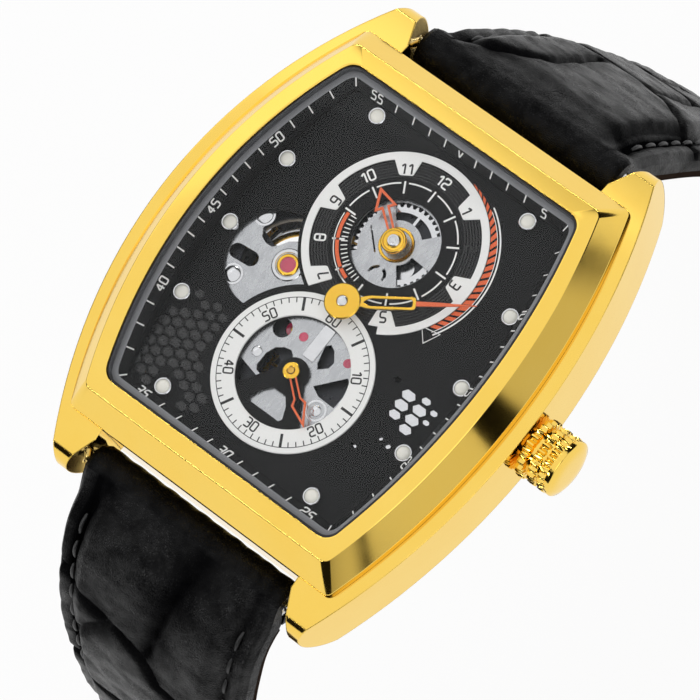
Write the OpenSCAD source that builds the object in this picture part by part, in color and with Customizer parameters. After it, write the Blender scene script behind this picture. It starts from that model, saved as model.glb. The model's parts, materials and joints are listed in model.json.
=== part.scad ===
// Barrel-shaped automatic skeleton wristwatch on a padded leather strap.
// +X points to the crown (3 o'clock), +Y to 12 o'clock, +Z out of the dial.
// The origin is the centre of the outer face of the case back.

/* [Case] */
// Half width of the case across its middle
case_half_w = 21.7; // [21.4:0.1:22.2]
// Radius of the case sides seen from the front
case_side_r = 57.5; // [56:0.5:60]
// Radius of the long curve of the case, seen from the crown side
arch_r = 107; // [100:1:125]
// Height of the dial plane above the case back
dial_height = 9.6; // [9.4:0.1:10.2]
// Height of the case shoulder above the dial plane
shoulder_h = 0.7; // [0.6:0.05:0.8]
// Height of the side wall of the case
band_h = 6.6; // [6.4:0.1:6.8]
// Distance from the centre to the lug tips
lug_reach = 27.1; // [26.9:0.1:28]
// Space between the lugs
lug_gap = 24.1; // [22.5:0.1:24.3]
// Distance from the centre to the end walls between the lugs
end_wall_y = 22.3; // [22:0.05:22.4]
// Distance from the lug tips back to the spring bars
bar_inset = 2.1; // [1.9:0.05:2.3]
// Radius of a spring bar
bar_r = 0.9; // [0.7:0.05:1]

/* [Bezel and crystal] */
// Half width of the window in the bezel
window_half_w = 16.73; // [16.6:0.01:16.9]
// Half height of the window in the bezel
window_half_h = 18.6; // [18.5:0.05:18.7]
// Radius of the window sides
window_side_r = 56.9; // [55:0.1:59]
// Radius of the window corners
window_corner_r = 1.7; // [1.4:0.1:2.2]
// Height of the bezel above the dial plane
bezel_h = 4; // [3.8:0.1:4.4]
// Half width of the brushed flat on the bezel
flat_half_w = 18.35; // [18:0.05:18.7]
// Half height of the brushed flat on the bezel
flat_half_h = 20.3; // [20:0.05:20.6]
// Half width of the foot of the bezel
foot_half_w = 20.2; // [20:0.05:20.6]
// Half height of the foot of the bezel
foot_half_h = 22.4; // [22.3:0.05:22.6]
// Thickness of the crystal
crystal_t = 1.05; // [0.9:0.05:1.3]

/* [Dial] */
// Thickness of the dial plate
dial_t = 0.4; // [0.3:0.05:0.5]
// Distance from the centre to the hour hand axis
hour_y = 7.37; // [7.3:0.01:7.45]
// Distance from the centre to the seconds hand axis
seconds_y = 7.85; // [7.8:0.01:7.9]
// Outer radius of the white hour ring
hour_ring_r = 8.88; // [8.7:0.02:9]
// Radius of the opening round the hour hand
hour_open_r = 4.32; // [4.2:0.02:4.5]
// Outer radius of the white seconds ring
seconds_ring_r = 7.78; // [7.7:0.01:7.9]
// Radius of the opening round the seconds hand
seconds_open_r = 5.45; // [5.3:0.01:5.5]
// Radius of the rim of an hour marker
marker_r = 0.85; // [0.7:0.01:0.9]
// Height of an hour marker
marker_h = 0.6; // [0.4:0.05:0.7]
// Length of the minute hand
minute_hand_l = 12.6; // [12:0.1:12.8]
// Length of the hour hand
hour_hand_l = 5.45; // [5:0.05:5.6]
// Length of the seconds hand
seconds_hand_l = 5.6; // [5.2:0.05:5.8]

/* [Movement] */
// Radius of the movement
movement_r = 15.4; // [15.2:0.05:15.5]
// Thickness of a train wheel
wheel_t = 0.2; // [0.16:0.01:0.22]
// Radius of a train arbor
arbor_r = 0.3; // [0.25:0.01:0.32]
// Radial play of an arbor in its jewel
arbor_play = 0.03; // [0.02:0.01:0.05]
// Outer radius of a jewel
jewel_r = 0.75; // [0.65:0.01:0.8]
// Outer radius of the balance wheel
balance_r = 4.8; // [4.6:0.05:4.85]
// Outer radius of the winding rotor
rotor_r = 15.2; // [14.8:0.05:15.3]

/* [Crown] */
// Radius of the crown
crown_r = 3; // [2.8:0.05:3.2]
// Length of the crown
crown_l = 4.2; // [4:0.1:4.8]
// Travel of the crown when it is pulled out
crown_pull = 1.4; // [1:0.1:1.5]

/* [Strap] */
// Width of the strap at the lugs
strap_w = 23.6; // [22:0.1:23.7]
// Narrowing of the strap from the lugs to the buckle
strap_taper = 3.6; // [3.2:0.1:4.6]
// Thickness of the strap near the lugs
strap_t = 4.4; // [4:0.1:4.6]
// Thickness of the strap towards its ends
strap_end_t = 2.6; // [2.4:0.1:2.8]
// Thickness of the lining
lining_t = 0.9; // [0.7:0.05:1]
// Thickness of the buckle frame
buckle_t = 2; // [1.8:0.1:2.2]

/* [Hidden] */
$fn = 96;

gold = "#E8B830";
silver = "#C9CACC";
brass = "#D9A441";
ruby = "#A01840";
black_leather = "#1B1B1D";
seam = 0.05;            // gap between flat faces that meet
running = 0.05;         // radial play of a pin in its hole
slide_gap = 0.25;       // gap of a loop or a cap that slides
far = 60;               // longer than the watch case

// Heights above the dial plane, from the hands down to the rotor
crystal_bottom = bezel_h - crystal_t;
flange_top = crystal_bottom - 0.05;
minute_hand_z = 1.25;
hour_hand_z = 0.55;
seconds_hand_z = 0.5;
hand_t = 0.25;
ring_t = 0.12;
dial_bottom = -dial_t;
hour_wheel_z = dial_bottom - 0.6;
side_bridge_top = dial_bottom - seam;
side_bridge_t = 0.18;
side_bridge_bottom = side_bridge_top - side_bridge_t;
minute_wheel_z = hour_wheel_z - 0.35;
plate_t = 1.2;
plate_top = minute_wheel_z - 0.15;
plate_bottom = plate_top - plate_t;
centre_wheel_z = plate_bottom - 0.4;
escape_wheel_z = plate_bottom - 0.9;
third_wheel_z = plate_bottom - 1;
fourth_wheel_z = plate_bottom - 1.6;
balance_z = plate_bottom - 2.4;
barrel_top = plate_bottom - 0.6;
barrel_bottom = plate_bottom - 2.6;
barrel_teeth_z = plate_bottom - 2.2;
bridge_top = plate_bottom - 2.9;
bridge_t = 0.9;
bridge_bottom = bridge_top - bridge_t;
ratchet_z = bridge_bottom - 0.35;
rotor_web_z = bridge_bottom - 0.8;
rotor_rim_top = bridge_bottom - 0.4;
rotor_rim_bottom = bridge_bottom - 1.7;

// Train: teeth, modules and the places of the arbors
cannon_n = 10;
minute_wheel_n = 30;
hour_wheel_n = 40;
motion_module = 0.2;
centre_n = 80;
third_pinion_n = 10;
centre_module = 0.12;
third_n = 75;
fourth_pinion_n = 10;
third_module = 0.115;
fourth_n = 96;
escape_pinion_n = 8;
fourth_module = 0.09;
barrel_n = 72;
centre_pinion_n = 12;
barrel_module = 0.15;
escape_n = 15;
escape_r = 1.8;
ratchet_n = 36;
ratchet_module = 0.18;

function reach(n1, n2, m) = m * (n1 + n2) / 2;
// Corner of a triangle from its first corner, with the two side lengths; side is 1 or -1
function corner(p, q, a, b, side) =
    let (d = norm(q - p), u = (q - p) / d, x = (a * a - b * b + d * d) / (2 * d))
    p + x * u + side * sqrt(a * a - x * x) * [-u[1], u[0]];
function angle_to(p, q) = atan2(q[1] - p[1], q[0] - p[0]);

centre = [0, 0];
hour_axis = [0, hour_y];
seconds_axis = [0, -seconds_y];
balance_axis = [-7.2, 0];
barrel_angle = 75;
barrel_axis = reach(barrel_n, centre_pinion_n, barrel_module) * [cos(barrel_angle), sin(barrel_angle)];
minute_wheel_axis = corner(centre, hour_axis, reach(cannon_n, minute_wheel_n, motion_module),
    reach(cannon_n, hour_wheel_n, motion_module), 1);
third_axis = corner(centre, seconds_axis, reach(centre_n, third_pinion_n, centre_module),
    reach(third_n, fourth_pinion_n, third_module), 1);
lever_angle = angle_to(seconds_axis, balance_axis);
lever_dir = [cos(lever_angle), sin(lever_angle)];
escape_axis = seconds_axis + reach(fourth_n, escape_pinion_n, fourth_module) * lever_dir;
pallet_axis = escape_axis + 2.6 * lever_dir;
lever_l = norm(balance_axis - pallet_axis) - 0.95;

// Turn of a wheel that puts its gaps over the teeth of the wheel that it meets
function mesh_phase(n1, phase1, n2, direction) =
    direction + 180 - (0.5 - (direction - phase1) * n1 / 360) * 360 / n2;
minute_wheel_phase = mesh_phase(cannon_n, 0, minute_wheel_n, angle_to(centre, minute_wheel_axis));
hour_wheel_phase = mesh_phase(cannon_n, minute_wheel_phase, hour_wheel_n,
    angle_to(minute_wheel_axis, hour_axis));
third_phase = mesh_phase(centre_n, 0, third_pinion_n, angle_to(centre, third_axis));
fourth_phase = mesh_phase(third_n, third_phase, fourth_pinion_n, angle_to(third_axis, seconds_axis));
escape_phase = mesh_phase(fourth_n, fourth_phase, escape_pinion_n, lever_angle);
barrel_phase = mesh_phase(centre_pinion_n, 0, barrel_n, barrel_angle);

// Case
band_top = shoulder_h;
band_bottom = shoulder_h - band_h;
crown_z = shoulder_h - band_h / 2;
lug_tip_r = band_h / 2 + 0.3;
bar_y = lug_reach - bar_inset;
cavity_half_w = window_half_w + 0.2;
cavity_half_h = window_half_h + 0.1;
bar_z = crown_z - 2.6;
bar_tip_r = bar_r / 2;
bar_tip_l = 1.1;
back_step_z = 1;
back_disc_r = 17.6;
back_half_w = 19;
back_half_h = 21.4;
glass_r = 13.5;
glass_t = 1.1;
back_inner_z = 1.2;
back_cavity_r = rotor_r + 0.7;
back_screw = [11.5, 20.3];
back_screw_r = 0.6;
tube_r = 1.6;
tube_bore_r = 0.95;
tube_end_x = case_half_w + 1.4;
stem_r = 0.6;
crown_x = case_half_w + slide_gap;
crown_recess_r = 2.2;

// Strap routes: the middle of the strap's thickness, as [y, z] from the spring bar
path_12 = [
    [0, 0], [2.8, -2.7], [5.9, -8.7], [9.6, -17.1], [11.9, -24.2], [14.4, -32], [16.8, -41],
    [19.1, -50.6], [21, -59], [22.5, -66.3], [24.3, -75.2], [26.1, -84.1], [26.7, -87.1]];
path_6 = [
    [0, 0], [-3, -0.7], [-5.7, -2.6], [-7.9, -5.7], [-10, -9.6], [-11.8, -14.4], [-13.2, -19.6],
    [-14.3, -25.3], [-15.2, -31.8], [-16, -40.8], [-16.8, -49.8], [-18.2, -58.7], [-20.9, -67.3],
    [-25.3, -75.1], [-31.8, -81.4], [-39.8, -85.6], [-48.6, -87.7], [-57.6, -88.7]];
route_12 = [for (p = path_12) [bar_y + p[0], bar_z + p[1]]];
route_6 = [for (p = path_6) [-bar_y + p[0], bar_z + p[1]]];
strap_end_w = strap_w - strap_taper;
roll_r = 2.3;
end_roll_r = 1.6;
buckle_bar_r = 0.75;
keeper_wall = 1.1;
keeper_w = 6;
keeper_room = 3;
tongue_w = 2.2;
buckle_l = 9;
buckle_fold = 174;

// Drop of the long curve of the case below its middle
function drop(y) = sqrt(arch_r * arch_r - y * y) - arch_r;

// Quarter of a barrel outline: side arc, then corner arc
function quarter(w, h, r, c, n1 = 16, n2 = 5) =
    let (sx = w - r, cx = sx + sqrt(pow(r - c, 2) - pow(h - c, 2)), a1 = atan2(h - c, cx - sx))
    concat([for (i = [0 : n1]) [sx + r * cos(a1 * i / n1), r * sin(a1 * i / n1)]],
        [for (i = [1 : n2]) let (a = a1 + (90 - a1) * i / n2) [cx + c * cos(a), h - c + c * sin(a)]]);
function flipped(q) = [for (i = [len(q) - 1 : -1 : 0]) q[i]];
function outline(w, h, r, c) =
    let (q = quarter(w, h, r, c), n = len(q))
    concat(q, [for (p = flipped(q)) [-p[0], p[1]]],
        [for (i = [1 : n - 1]) [-q[i][0], -q[i][1]]],
        [for (i = [n - 1 : -1 : 1]) [q[i][0], -q[i][1]]]);
function lift(pts, z) = [for (p = pts) [p[0], p[1], z]];
function arched(pts, z) = [for (p = pts) [p[0], p[1], z + drop(p[1])]];

module from_dial(z = 0) {
    translate([0, 0, dial_height + z]) children();
}

module at(p) {
    translate([p[0], p[1], 0]) children();
}

module along_x(x, y = 0, z = 0) {
    translate([x, y, z]) rotate([0, 90, 0]) children();
}

// Everything below an arched surface whose middle is at height z
module below_arch(z) {
    along_x(-far, 0, z - arch_r) cylinder(r = arch_r, h = 2 * far, $fn = 360);
}

module barrel_column(w, h, r, c, z1, z2) {
    translate([0, 0, z1]) linear_extrude(z2 - z1) polygon(outline(w, h, r, c));
}

// Closed band through rings of points, all with the same count
module ring_loft(rings) {
    n = len(rings[0]);
    m = len(rings);
    polyhedron([for (r = rings) each r], [for (k = [0 : m - 1], i = [0 : n - 1])
        let (k2 = (k + 1) % m, j = (i + 1) % n)
        each [[k * n + i, k2 * n + j, k * n + j], [k * n + i, k2 * n + i, k2 * n + j]]]);
}

module case_sides() {
    intersection() {
        for_side(-1) circle(case_side_r, $fn = 720);
        for_side(1) circle(case_side_r, $fn = 720);
        square([2 * case_half_w + 1, 2 * lug_reach], center = true);
    }
}

module for_side(s) {
    translate([s * (case_side_r - case_half_w), 0]) children();
}

// Side view of the case, with round lug tips
module side_view() {
    tip_y = lug_reach - lug_tip_r;
    square([2 * tip_y, far], center = true);
    for (s = [-1, 1]) translate([s * tip_y, crown_z + drop(tip_y)]) circle(lug_tip_r);
}

module case_middle() {
    color(gold) from_dial() difference() {
        intersection() {
            translate([0, 0, -far / 2]) linear_extrude(far) case_sides();
            difference() {
                below_arch(band_top);
                below_arch(band_bottom);
            }
            along_x(-far / 2) rotate([0, 0, 90]) linear_extrude(far) side_view();
        }
        for (s = [-1, 1]) {
            translate([-lug_gap / 2, s > 0 ? end_wall_y : -end_wall_y - far, -far / 2])
                cube([lug_gap, far, far]);
            for (t = [-1, 1]) {
                translate([0, 0, -far / 2]) linear_extrude(far) polygon([
                    [t * lug_gap / 2, s * (lug_reach - 3.6)],
                    [t * (lug_gap / 2 + 1.7), s * (lug_reach + 0.1)],
                    [t * (lug_gap / 2 - 1), s * (lug_reach + 0.1)]]);
                along_x(t > 0 ? lug_gap / 2 - 1 : -lug_gap / 2 - bar_tip_l - 0.2, s * bar_y, bar_z)
                    cylinder(r = bar_tip_r + running, h = bar_tip_l + 1.2);
                translate([t * back_screw[0], s * back_screw[1], band_bottom - 3])
                    cylinder(r = back_screw_r + running / 2, h = 5);
            }
        }
        barrel_column(cavity_half_w, cavity_half_h, window_side_r, window_corner_r, -far / 2, far / 2);
        along_x(cavity_half_w - 1, 0, crown_z) cylinder(r = tube_r, h = far / 4);
    }
}

module bezel() {
    inner = outline(window_half_w, window_half_h, window_side_r, window_corner_r);
    flat_in = outline(window_half_w + 0.12, window_half_h + 0.12, window_side_r, window_corner_r);
    flat_out = outline(flat_half_w, flat_half_h, case_side_r, 0.9);
    foot = outline(foot_half_w, foot_half_h, case_side_r + 1.5, 0.8);
    color(gold) from_dial() ring_loft([
        arched(inner, band_top + seam),
        arched(inner, bezel_h - 0.15),
        arched(flat_in, bezel_h),
        arched(flat_out, bezel_h - 0.1),
        arched(outline(flat_half_w + 0.25, flat_half_h + 0.28, case_side_r + 0.1, 0.9), bezel_h - 0.32),
        arched(foot, band_top + 0.55),
        arched(outline(foot_half_w + 0.02, foot_half_h + 0.02, case_side_r + 1.5, 0.8), band_top + seam)
    ]);
}

module arched_ring(w, h, wall, z1, z2) {
    difference() {
        intersection() {
            barrel_column(w, h, window_side_r, window_corner_r, -far / 4, far / 4);
            difference() {
                below_arch(z2);
                below_arch(z1);
            }
        }
        barrel_column(w - wall, h - wall, window_side_r, window_corner_r - wall, -far / 4 - 1, far / 4 + 1);
    }
}

crystal_gap = 0.25;

module crystal() {
    color("#DDE6EA", 0.3) from_dial() intersection() {
        barrel_column(window_half_w - crystal_gap, window_half_h - crystal_gap, window_side_r,
            window_corner_r - crystal_gap, -far / 4, far / 4);
        difference() {
            below_arch(bezel_h);
            below_arch(crystal_bottom);
        }
    }
}

module crystal_gasket() {
    color("#3A3A3E") from_dial()
        arched_ring(window_half_w - 0.03, window_half_h - 0.03, crystal_gap - 0.06, crystal_bottom,
            bezel_h - 0.25);
}

flange_w = 0.85;
track_w = 0.75;
track_drop = 0.95;

// Flat grey flange, then a sloping face for the minute track and a wall down to the dial
module dial_flange() {
    function inset(d, c) = outline(window_half_w - d, window_half_h - d, window_side_r, c);
    outer = inset(0.1, window_corner_r);
    top_edge = inset(flange_w, 1);
    track_edge = inset(flange_w + track_w, 0.6);
    color("#606066") from_dial() ring_loft([
        lift(outer, seam / 2),
        lift(track_edge, seam / 2),
        arched(track_edge, flange_top - track_drop),
        arched(top_edge, flange_top),
        arched(outer, flange_top)
    ]);
}

// Window over the balance, between the two rings
module balance_window() {
    difference() {
        translate([-8.2, -0.4]) circle(4.95);
        translate(hour_axis) circle(hour_ring_r + 0.35);
        translate(seconds_axis) circle(seconds_ring_r + 0.75);
    }
}

cell_l = 1.62;
cell_w = 0.99;

// Cells as [x, y, size]
cells = [[10.25, -3.3, 1], [10.25, -4.4, 1], [10.3, -5.45, 0.8], [11.95, -2.8, 0.62], [11.95, -3.85, 1],
    [11.95, -4.95, 1], [12, -6, 0.9], [13.25, -3.3, 0.5], [13.2, -4.4, 0.45], [8.5, -2.75, 0.55],
    [10.6, -7.95, 0.4], [11.6, -8.15, 0.5], [9, -9.95, 0.45]];

module honeycomb_window() {
    for (c = cells) let (l = cell_l * c[2] / 2, w = cell_w * c[2] / 2) translate([c[0], c[1]])
        polygon([[l, 0], [l * 0.55, w], [-l * 0.55, w], [-l, 0], [-l * 0.55, -w], [l * 0.55, -w]]);
}

// Black web that holds the bush of the seconds hand
module seconds_web() {
    intersection() {
        circle(seconds_open_r + 0.2);
        difference() {
            union() {
                circle(1.5);
                polygon([[-1.3, 0], [1.3, 0], [3.7, -3.8], [5, -6], [-5, -6], [-3.9, -3.9]]);
                translate([-6, -6]) square([12, 1.9]);
            }
            polygon([[-0.8, -2.1], [0.8, -2.1], [1.5, -2.9], [2, -4.05], [1.8, -4.4], [-1.8, -4.4],
                [-2, -4.05], [-1.5, -2.9]]);
        }
    }
}

module dial_plate() {
    color("#262626") from_dial(dial_bottom) difference() {
        linear_extrude(dial_t) difference() {
            polygon(outline(window_half_w - 0.4, window_half_h - 0.5, window_side_r, window_corner_r));
            circle(1.15);
            translate(hour_axis) circle(hour_open_r);
            balance_window();
            honeycomb_window();
            difference() {
                translate(seconds_axis) circle(seconds_open_r);
                translate(seconds_axis) seconds_web();
            }
            translate(seconds_axis) circle(arbor_r + 0.12);
        }
    }
}

module hour_chapter_ring() {
    color("white") from_dial(seam / 2) at(hour_axis) linear_extrude(ring_t) difference() {
        union() {
            difference() {
                circle(hour_ring_r);
                circle(hour_ring_r - 0.75);
            }
            for (h = [1, 3, 5, 7, 9, 11]) rotate(90 - 30 * h) intersection() {
                circle(hour_ring_r);
                translate([hour_ring_r - 1.9, -1]) square([1.5, 2]);
            }
        }
        translate([0, -seconds_y - hour_y]) circle(seconds_ring_r + 0.05);
        translate([0, -hour_y]) circle(1.15);
    }
}

module seconds_ring() {
    color("white") from_dial(seam / 2) at(seconds_axis) linear_extrude(ring_t + 0.08) difference() {
        circle(seconds_ring_r);
        circle(seconds_open_r + 0.03);
        translate([0, seconds_y]) circle(1.15);
    }
}

marker_row = [[9.07, 15.98], [13.48, 7.89], [14.04, 0], [13.48, -7.89], [9.07, -15.98]];
marker_places = [for (s = [-1, 1], p = marker_row)
    [s * p[0], p[1]]];

module marker_cups() {
    color(silver) from_dial(seam / 2) for (p = marker_places) at(p) difference() {
        cylinder(r = marker_r, h = marker_h, $fn = 48);
        translate([0, 0, 0.15]) cylinder(r = marker_r - 0.16, h = marker_h, $fn = 48);
    }
}

module marker_lume() {
    color("#F4F2E8") from_dial(0.15 + seam) for (p = marker_places) at(p)
        cylinder(r = marker_r - 0.18, h = marker_h - 0.15, $fn = 48);
}

module movement_ring() {
    ring_bottom = bridge_top + seam;
    color("#35353A") from_dial() difference() {
        barrel_column(window_half_w - 0.3, window_half_h - 0.35, window_side_r, window_corner_r,
            ring_bottom, dial_bottom - seam);
        translate([0, 0, ring_bottom - 1]) cylinder(r = movement_r + 0.1, h = far / 4);
        along_x(movement_r - 1, 0, crown_z) cylinder(r = tube_bore_r + 0.35, h = 4);
    }
}

// Bearings of the going train
train_axes = [centre, third_axis, seconds_axis, escape_axis, balance_axis];

// Part of a flat ring between two angles
module ring_part(r1, r2, a1, a2) {
    intersection() {
        difference() {
            circle(r2);
            circle(r1);
        }
        pie(a1, a2);
    }
}

module main_plate() {
    color(silver) from_dial(plate_bottom) difference() {
        cylinder(r = movement_r, h = plate_t);
        translate([0, 0, -1]) linear_extrude(plate_t + 2) {
            for (p = concat(train_axes, [pallet_axis, minute_wheel_axis])) translate(p) circle(jewel_r);
            translate(barrel_axis) circle(1.02);
            translate(balance_axis) ring_part(1.5, 5, 100, 162);
            translate(balance_axis) ring_part(1.5, 5, 188, 228);
            translate([-3.6, 9.6]) circle(1.2);
            translate([3.2, 9.8]) circle(0.9);
            translate([3, -9.5]) circle(1.5);
            translate([-3.4, -8.2]) circle(1.2);
            translate([-10.5, -10]) circle(2);
            translate([10.5, -5]) circle(1.4);
            translate([10, 9]) circle(2.4);
        }
        translate([movement_r - 5, -1.3, -1]) cube([6, 2.6, plate_t + 2]);
    }
}

module pie(a1, a2) {
    big = 2 * movement_r;
    mid = (a1 + a2) / 2;
    polygon([[0, 0], big * [cos(a1), sin(a1)], big * [cos((a1 + mid) / 2), sin((a1 + mid) / 2)],
        big * [cos(mid), sin(mid)], big * [cos((a2 + mid) / 2), sin((a2 + mid) / 2)],
        big * [cos(a2), sin(a2)]]);
}

hour_posts = [[5.3, 1.6], [-4.9, 2.8], [3.9, -4.1]];
seconds_posts = [[-4.3, -0.3], [4.1, -1.5]];
seconds_jewels = [[-1.55, 3.3], [3.5, 3.7]];
balance_posts = [[-4.9, 3.5], [-3.7, -4.2], [-1.2, -4.6]];
post_r = 0.35;

// Thin bridge under the dial, on posts that stand on the main plate
module side_bridge(place, posts) {
    color(silver) from_dial() at(place) {
        translate([0, 0, side_bridge_bottom]) linear_extrude(side_bridge_t) children();
        for (p = posts) translate([p[0], p[1], plate_top + seam / 2])
            cylinder(r = post_r, h = side_bridge_bottom - plate_top, $fn = 32);
    }
}

module oval(l, w) {
    square([l - w, w], center = true);
    for (s = [-1, 1]) translate([s * (l - w) / 2, 0]) circle(w / 2);
}

module hour_bridge() {
    side_bridge(hour_axis, hour_posts) difference() {
        circle(hour_open_r + 1.6);
        circle(0.6);
        ring_part(2.4, 4.15, 46, 130);
        ring_part(2, 4.1, -52, -4);
        ring_part(3.7, 4.3, 158, 222);
        translate([-2.2, -0.8]) rotate(-43) oval(2.7, 0.16);
        translate([0.25, -3.35]) {
            ring_part(0.65, 0.95, -10, 75);
            ring_part(0.65, 0.95, 105, 190);
        }
    }
}

module seconds_bridge() {
    side_bridge(seconds_axis, seconds_posts) difference() {
        circle(seconds_open_r + 0.75);
        circle(0.5);
        translate([-3.75, 2.85]) circle(0.95);
        polygon([[-3.5, -1.3], [-3.5, 0.1], [-3.1, 1], [-2.4, 1.5], [-1.7, 1.65], [-1.2, 1.3],
            [-1.1, 0.6], [-1.6, -0.3], [-2.1, -1.3], [-2.7, -1.8], [-3.2, -1.7]]);
        polygon([[0.7, 3.8], [1.1, 4.2], [1.7, 3.9], [2.4, 3], [2.3, 2.3], [1.5, 1.6], [1.1, 2.1]]);
        polygon([[2.2, 0.15], [4.4, 2.6], [4.9, 2.2], [5.15, 0.9], [5.1, -0.4], [3.2, -0.35]]);
        polygon([[-5.2, -1.6], [-2.6, -2.2], [-3.4, -4.4], [-4.8, -3.2]]);
        for (p = seconds_jewels) translate(p) circle(0.45);
    }
}

module balance_bridge() {
    side_bridge(balance_axis, balance_posts) difference() {
        translate([-1, -0.4]) circle(5.5);
        translate(hour_axis - balance_axis) circle(hour_open_r + 1.7);
        translate(seconds_axis - balance_axis) circle(seconds_open_r + 0.85);
        translate(-balance_axis) circle(1.2);
        circle(jewel_r);
        intersection() {
            translate([-1, -0.4]) circle(5.1);
            polygon([[-4.7, 5], [-4.3, 3.1], [-4.3, 1.5], [-3.8, 0.75], [-3.1, 0.45], [-2.4, 0.5],
                [-1.9, 1], [-1.4, 1.8], [-0.7, 2.3], [0.2, 3.5], [0.7, 5]]);
        }
        translate([-4.1, -1.6]) rotate(5) oval(3.1, 1.5);
    }
}

pillar_r = movement_r - 1.9;
bridge_r = movement_r - 0.2;

stem_room = 1.4;

module bridge_sector(a1, a2) {
    gap_a = 1;
    translate([0, 0, bridge_bottom]) linear_extrude(bridge_t) difference() {
        intersection() {
            circle(bridge_r);
            pie(a1 + gap_a, a2 - gap_a);
        }
        translate(balance_axis) circle(balance_r + 0.5);
        children();
    }
    translate([0, 0, bridge_top]) linear_extrude(plate_bottom - bridge_top - seam / 2) intersection() {
        difference() {
            circle(bridge_r);
            circle(pillar_r);
            translate([0, -stem_room]) square([far, 2 * stem_room]);
        }
        pie(a1 + gap_a, a2 - gap_a);
    }
}

module barrel_bridge() {
    color(silver) from_dial() bridge_sector(5, 168) {
        translate(barrel_axis) circle(1.02);
        circle(3);
        translate([9.5, 5.5]) circle(1.6);
    }
}

module train_bridge() {
    color(silver) from_dial() {
        bridge_sector(-164, 5) {
            for (p = [third_axis, seconds_axis, escape_axis]) translate(p) circle(jewel_r);
            circle(3);
            translate([9.5, -6]) circle(1.8);
        }
        translate([0, 0, bridge_bottom]) linear_extrude(bridge_t) difference() {
            circle(3 - seam);
            circle(jewel_r);
        }
        translate([0, 0, bridge_bottom]) linear_extrude(bridge_t) intersection() {
            translate([1.5, -3.2]) square([2, 1.2]);
            circle(3.6);
        }
    }
}

module balance_cock() {
    color(silver) from_dial() {
        translate([0, 0, bridge_bottom]) linear_extrude(bridge_t) difference() {
            union() {
                translate(balance_axis) circle(1.9);
                intersection() {
                    circle(bridge_r);
                    translate([-movement_r, -1.5]) square([movement_r + balance_axis[0], 3]);
                }
                intersection() {
                    circle(bridge_r);
                    difference() {
                        circle(movement_r);
                        circle(pillar_r);
                    }
                    pie(169, 195);
                }
            }
            translate(balance_axis) circle(jewel_r);
        }
        translate([0, 0, bridge_top]) linear_extrude(plate_bottom - bridge_top - seam / 2) intersection() {
            difference() {
                circle(bridge_r);
                circle(pillar_r);
            }
            pie(169, 195);
        }
    }
}

pallet_bridge_z = escape_wheel_z - 0.85;
pallet_bridge_t = 0.45;

// Small bridge over the pallet arbor, on two posts beyond the centre wheel's reach
module pallet_bridge() {
    posts = [[0.3, 2.4], [-1.6, 2.2]];
    color(silver) from_dial() at(pallet_axis) rotate(lever_angle) {
        translate([0, 0, pallet_bridge_z]) linear_extrude(pallet_bridge_t) difference() {
            union() {
                circle(0.6);
                for (p = posts) {
                    translate(p) circle(0.5);
                    rotate(atan2(p[1], p[0])) translate([0, -0.4]) square([norm(p), 0.8]);
                }
            }
            circle(0.15 + arbor_play);
        }
        for (p = posts) translate([p[0], p[1], pallet_bridge_z + pallet_bridge_t])
            cylinder(r = 0.4, h = plate_bottom - pallet_bridge_z - pallet_bridge_t - seam / 2, $fn = 32);
    }
}

module jewel(bore) {
    difference() {
        cylinder(r = jewel_r - 0.01, h = 0.5, $fn = 48);
        translate([0, 0, -1]) cylinder(r = bore + arbor_play, h = 3, $fn = 48);
    }
}

module jewels() {
    color(ruby) {
        for (p = train_axes) {
            from_dial(plate_top - 0.45) at(p) jewel(arbor_r);
            from_dial(bridge_bottom) at(p) jewel(arbor_r);
        }
        from_dial(side_bridge_bottom) at(balance_axis) cylinder(r = jewel_r - 0.01, h = side_bridge_t);
        for (p = seconds_jewels) from_dial(side_bridge_bottom) at(seconds_axis + p)
            cylinder(r = 0.44, h = side_bridge_t, $fn = 48);
        from_dial(plate_top - 0.45) at(pallet_axis) jewel(0.15);
        from_dial(plate_top - 0.45) at(minute_wheel_axis) jewel(arbor_r);
    }
}

screw_places = [for (a = [30, 80, 140, -20, -70, -130]) (pillar_r + 0.85) * [cos(a), sin(a)]];

module slotted_screw(r, h) {
    difference() {
        cylinder(r = r, h = h, $fn = 48);
        translate([-r, -0.1, -h / 2]) cube([2 * r, 0.2, h]);
    }
}

module bridge_screws() {
    color("#B9C4D6") from_dial(bridge_bottom - 0.27) {
        for (p = screw_places) at(p) slotted_screw(0.75, 0.25);
        at([-movement_r + 1.5, 0]) slotted_screw(0.75, 0.25);
    }
}

module case_back() {
    color(gold) difference() {
        union() {
            intersection() {
                barrel_column(back_half_w, back_half_h, case_side_r, 2, back_step_z, dial_height);
                from_dial() below_arch(band_bottom - seam);
            }
            cylinder(r = back_disc_r, h = back_step_z + 1, $fn = 180);
        }
        translate([0, 0, back_inner_z]) cylinder(r = back_cavity_r, h = far, $fn = 180);
        translate([0, 0, -1]) cylinder(r = glass_r + 0.45, h = far, $fn = 180);
        for (s = [-1, 1], t = [-1, 1]) translate([t * back_screw[0], s * back_screw[1], 0])
            cylinder(r = back_screw_r + 0.1, h = far);
    }
}

module back_crystal() {
    color("#DDE6EA", 0.3) cylinder(r = glass_r, h = glass_t, $fn = 180);
}

module back_crystal_gasket() {
    color("#202024") translate([0, 0, 0.1]) difference() {
        cylinder(r = glass_r + 0.42, h = glass_t - 0.1, $fn = 180);
        translate([0, 0, -1]) cylinder(r = glass_r + 0.03, h = glass_t + 2, $fn = 180);
    }
}

module back_screws() {
    color(gold) for (s = [-1, 1], t = [-1, 1]) translate([t * back_screw[0], s * back_screw[1], 0]) {
        translate([0, 0, back_step_z - 0.5]) slotted_screw(1.1, 0.48);
        translate([0, 0, back_step_z - 0.2]) cylinder(r = back_screw_r, h = 3.2, $fn = 48);
    }
}

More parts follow.
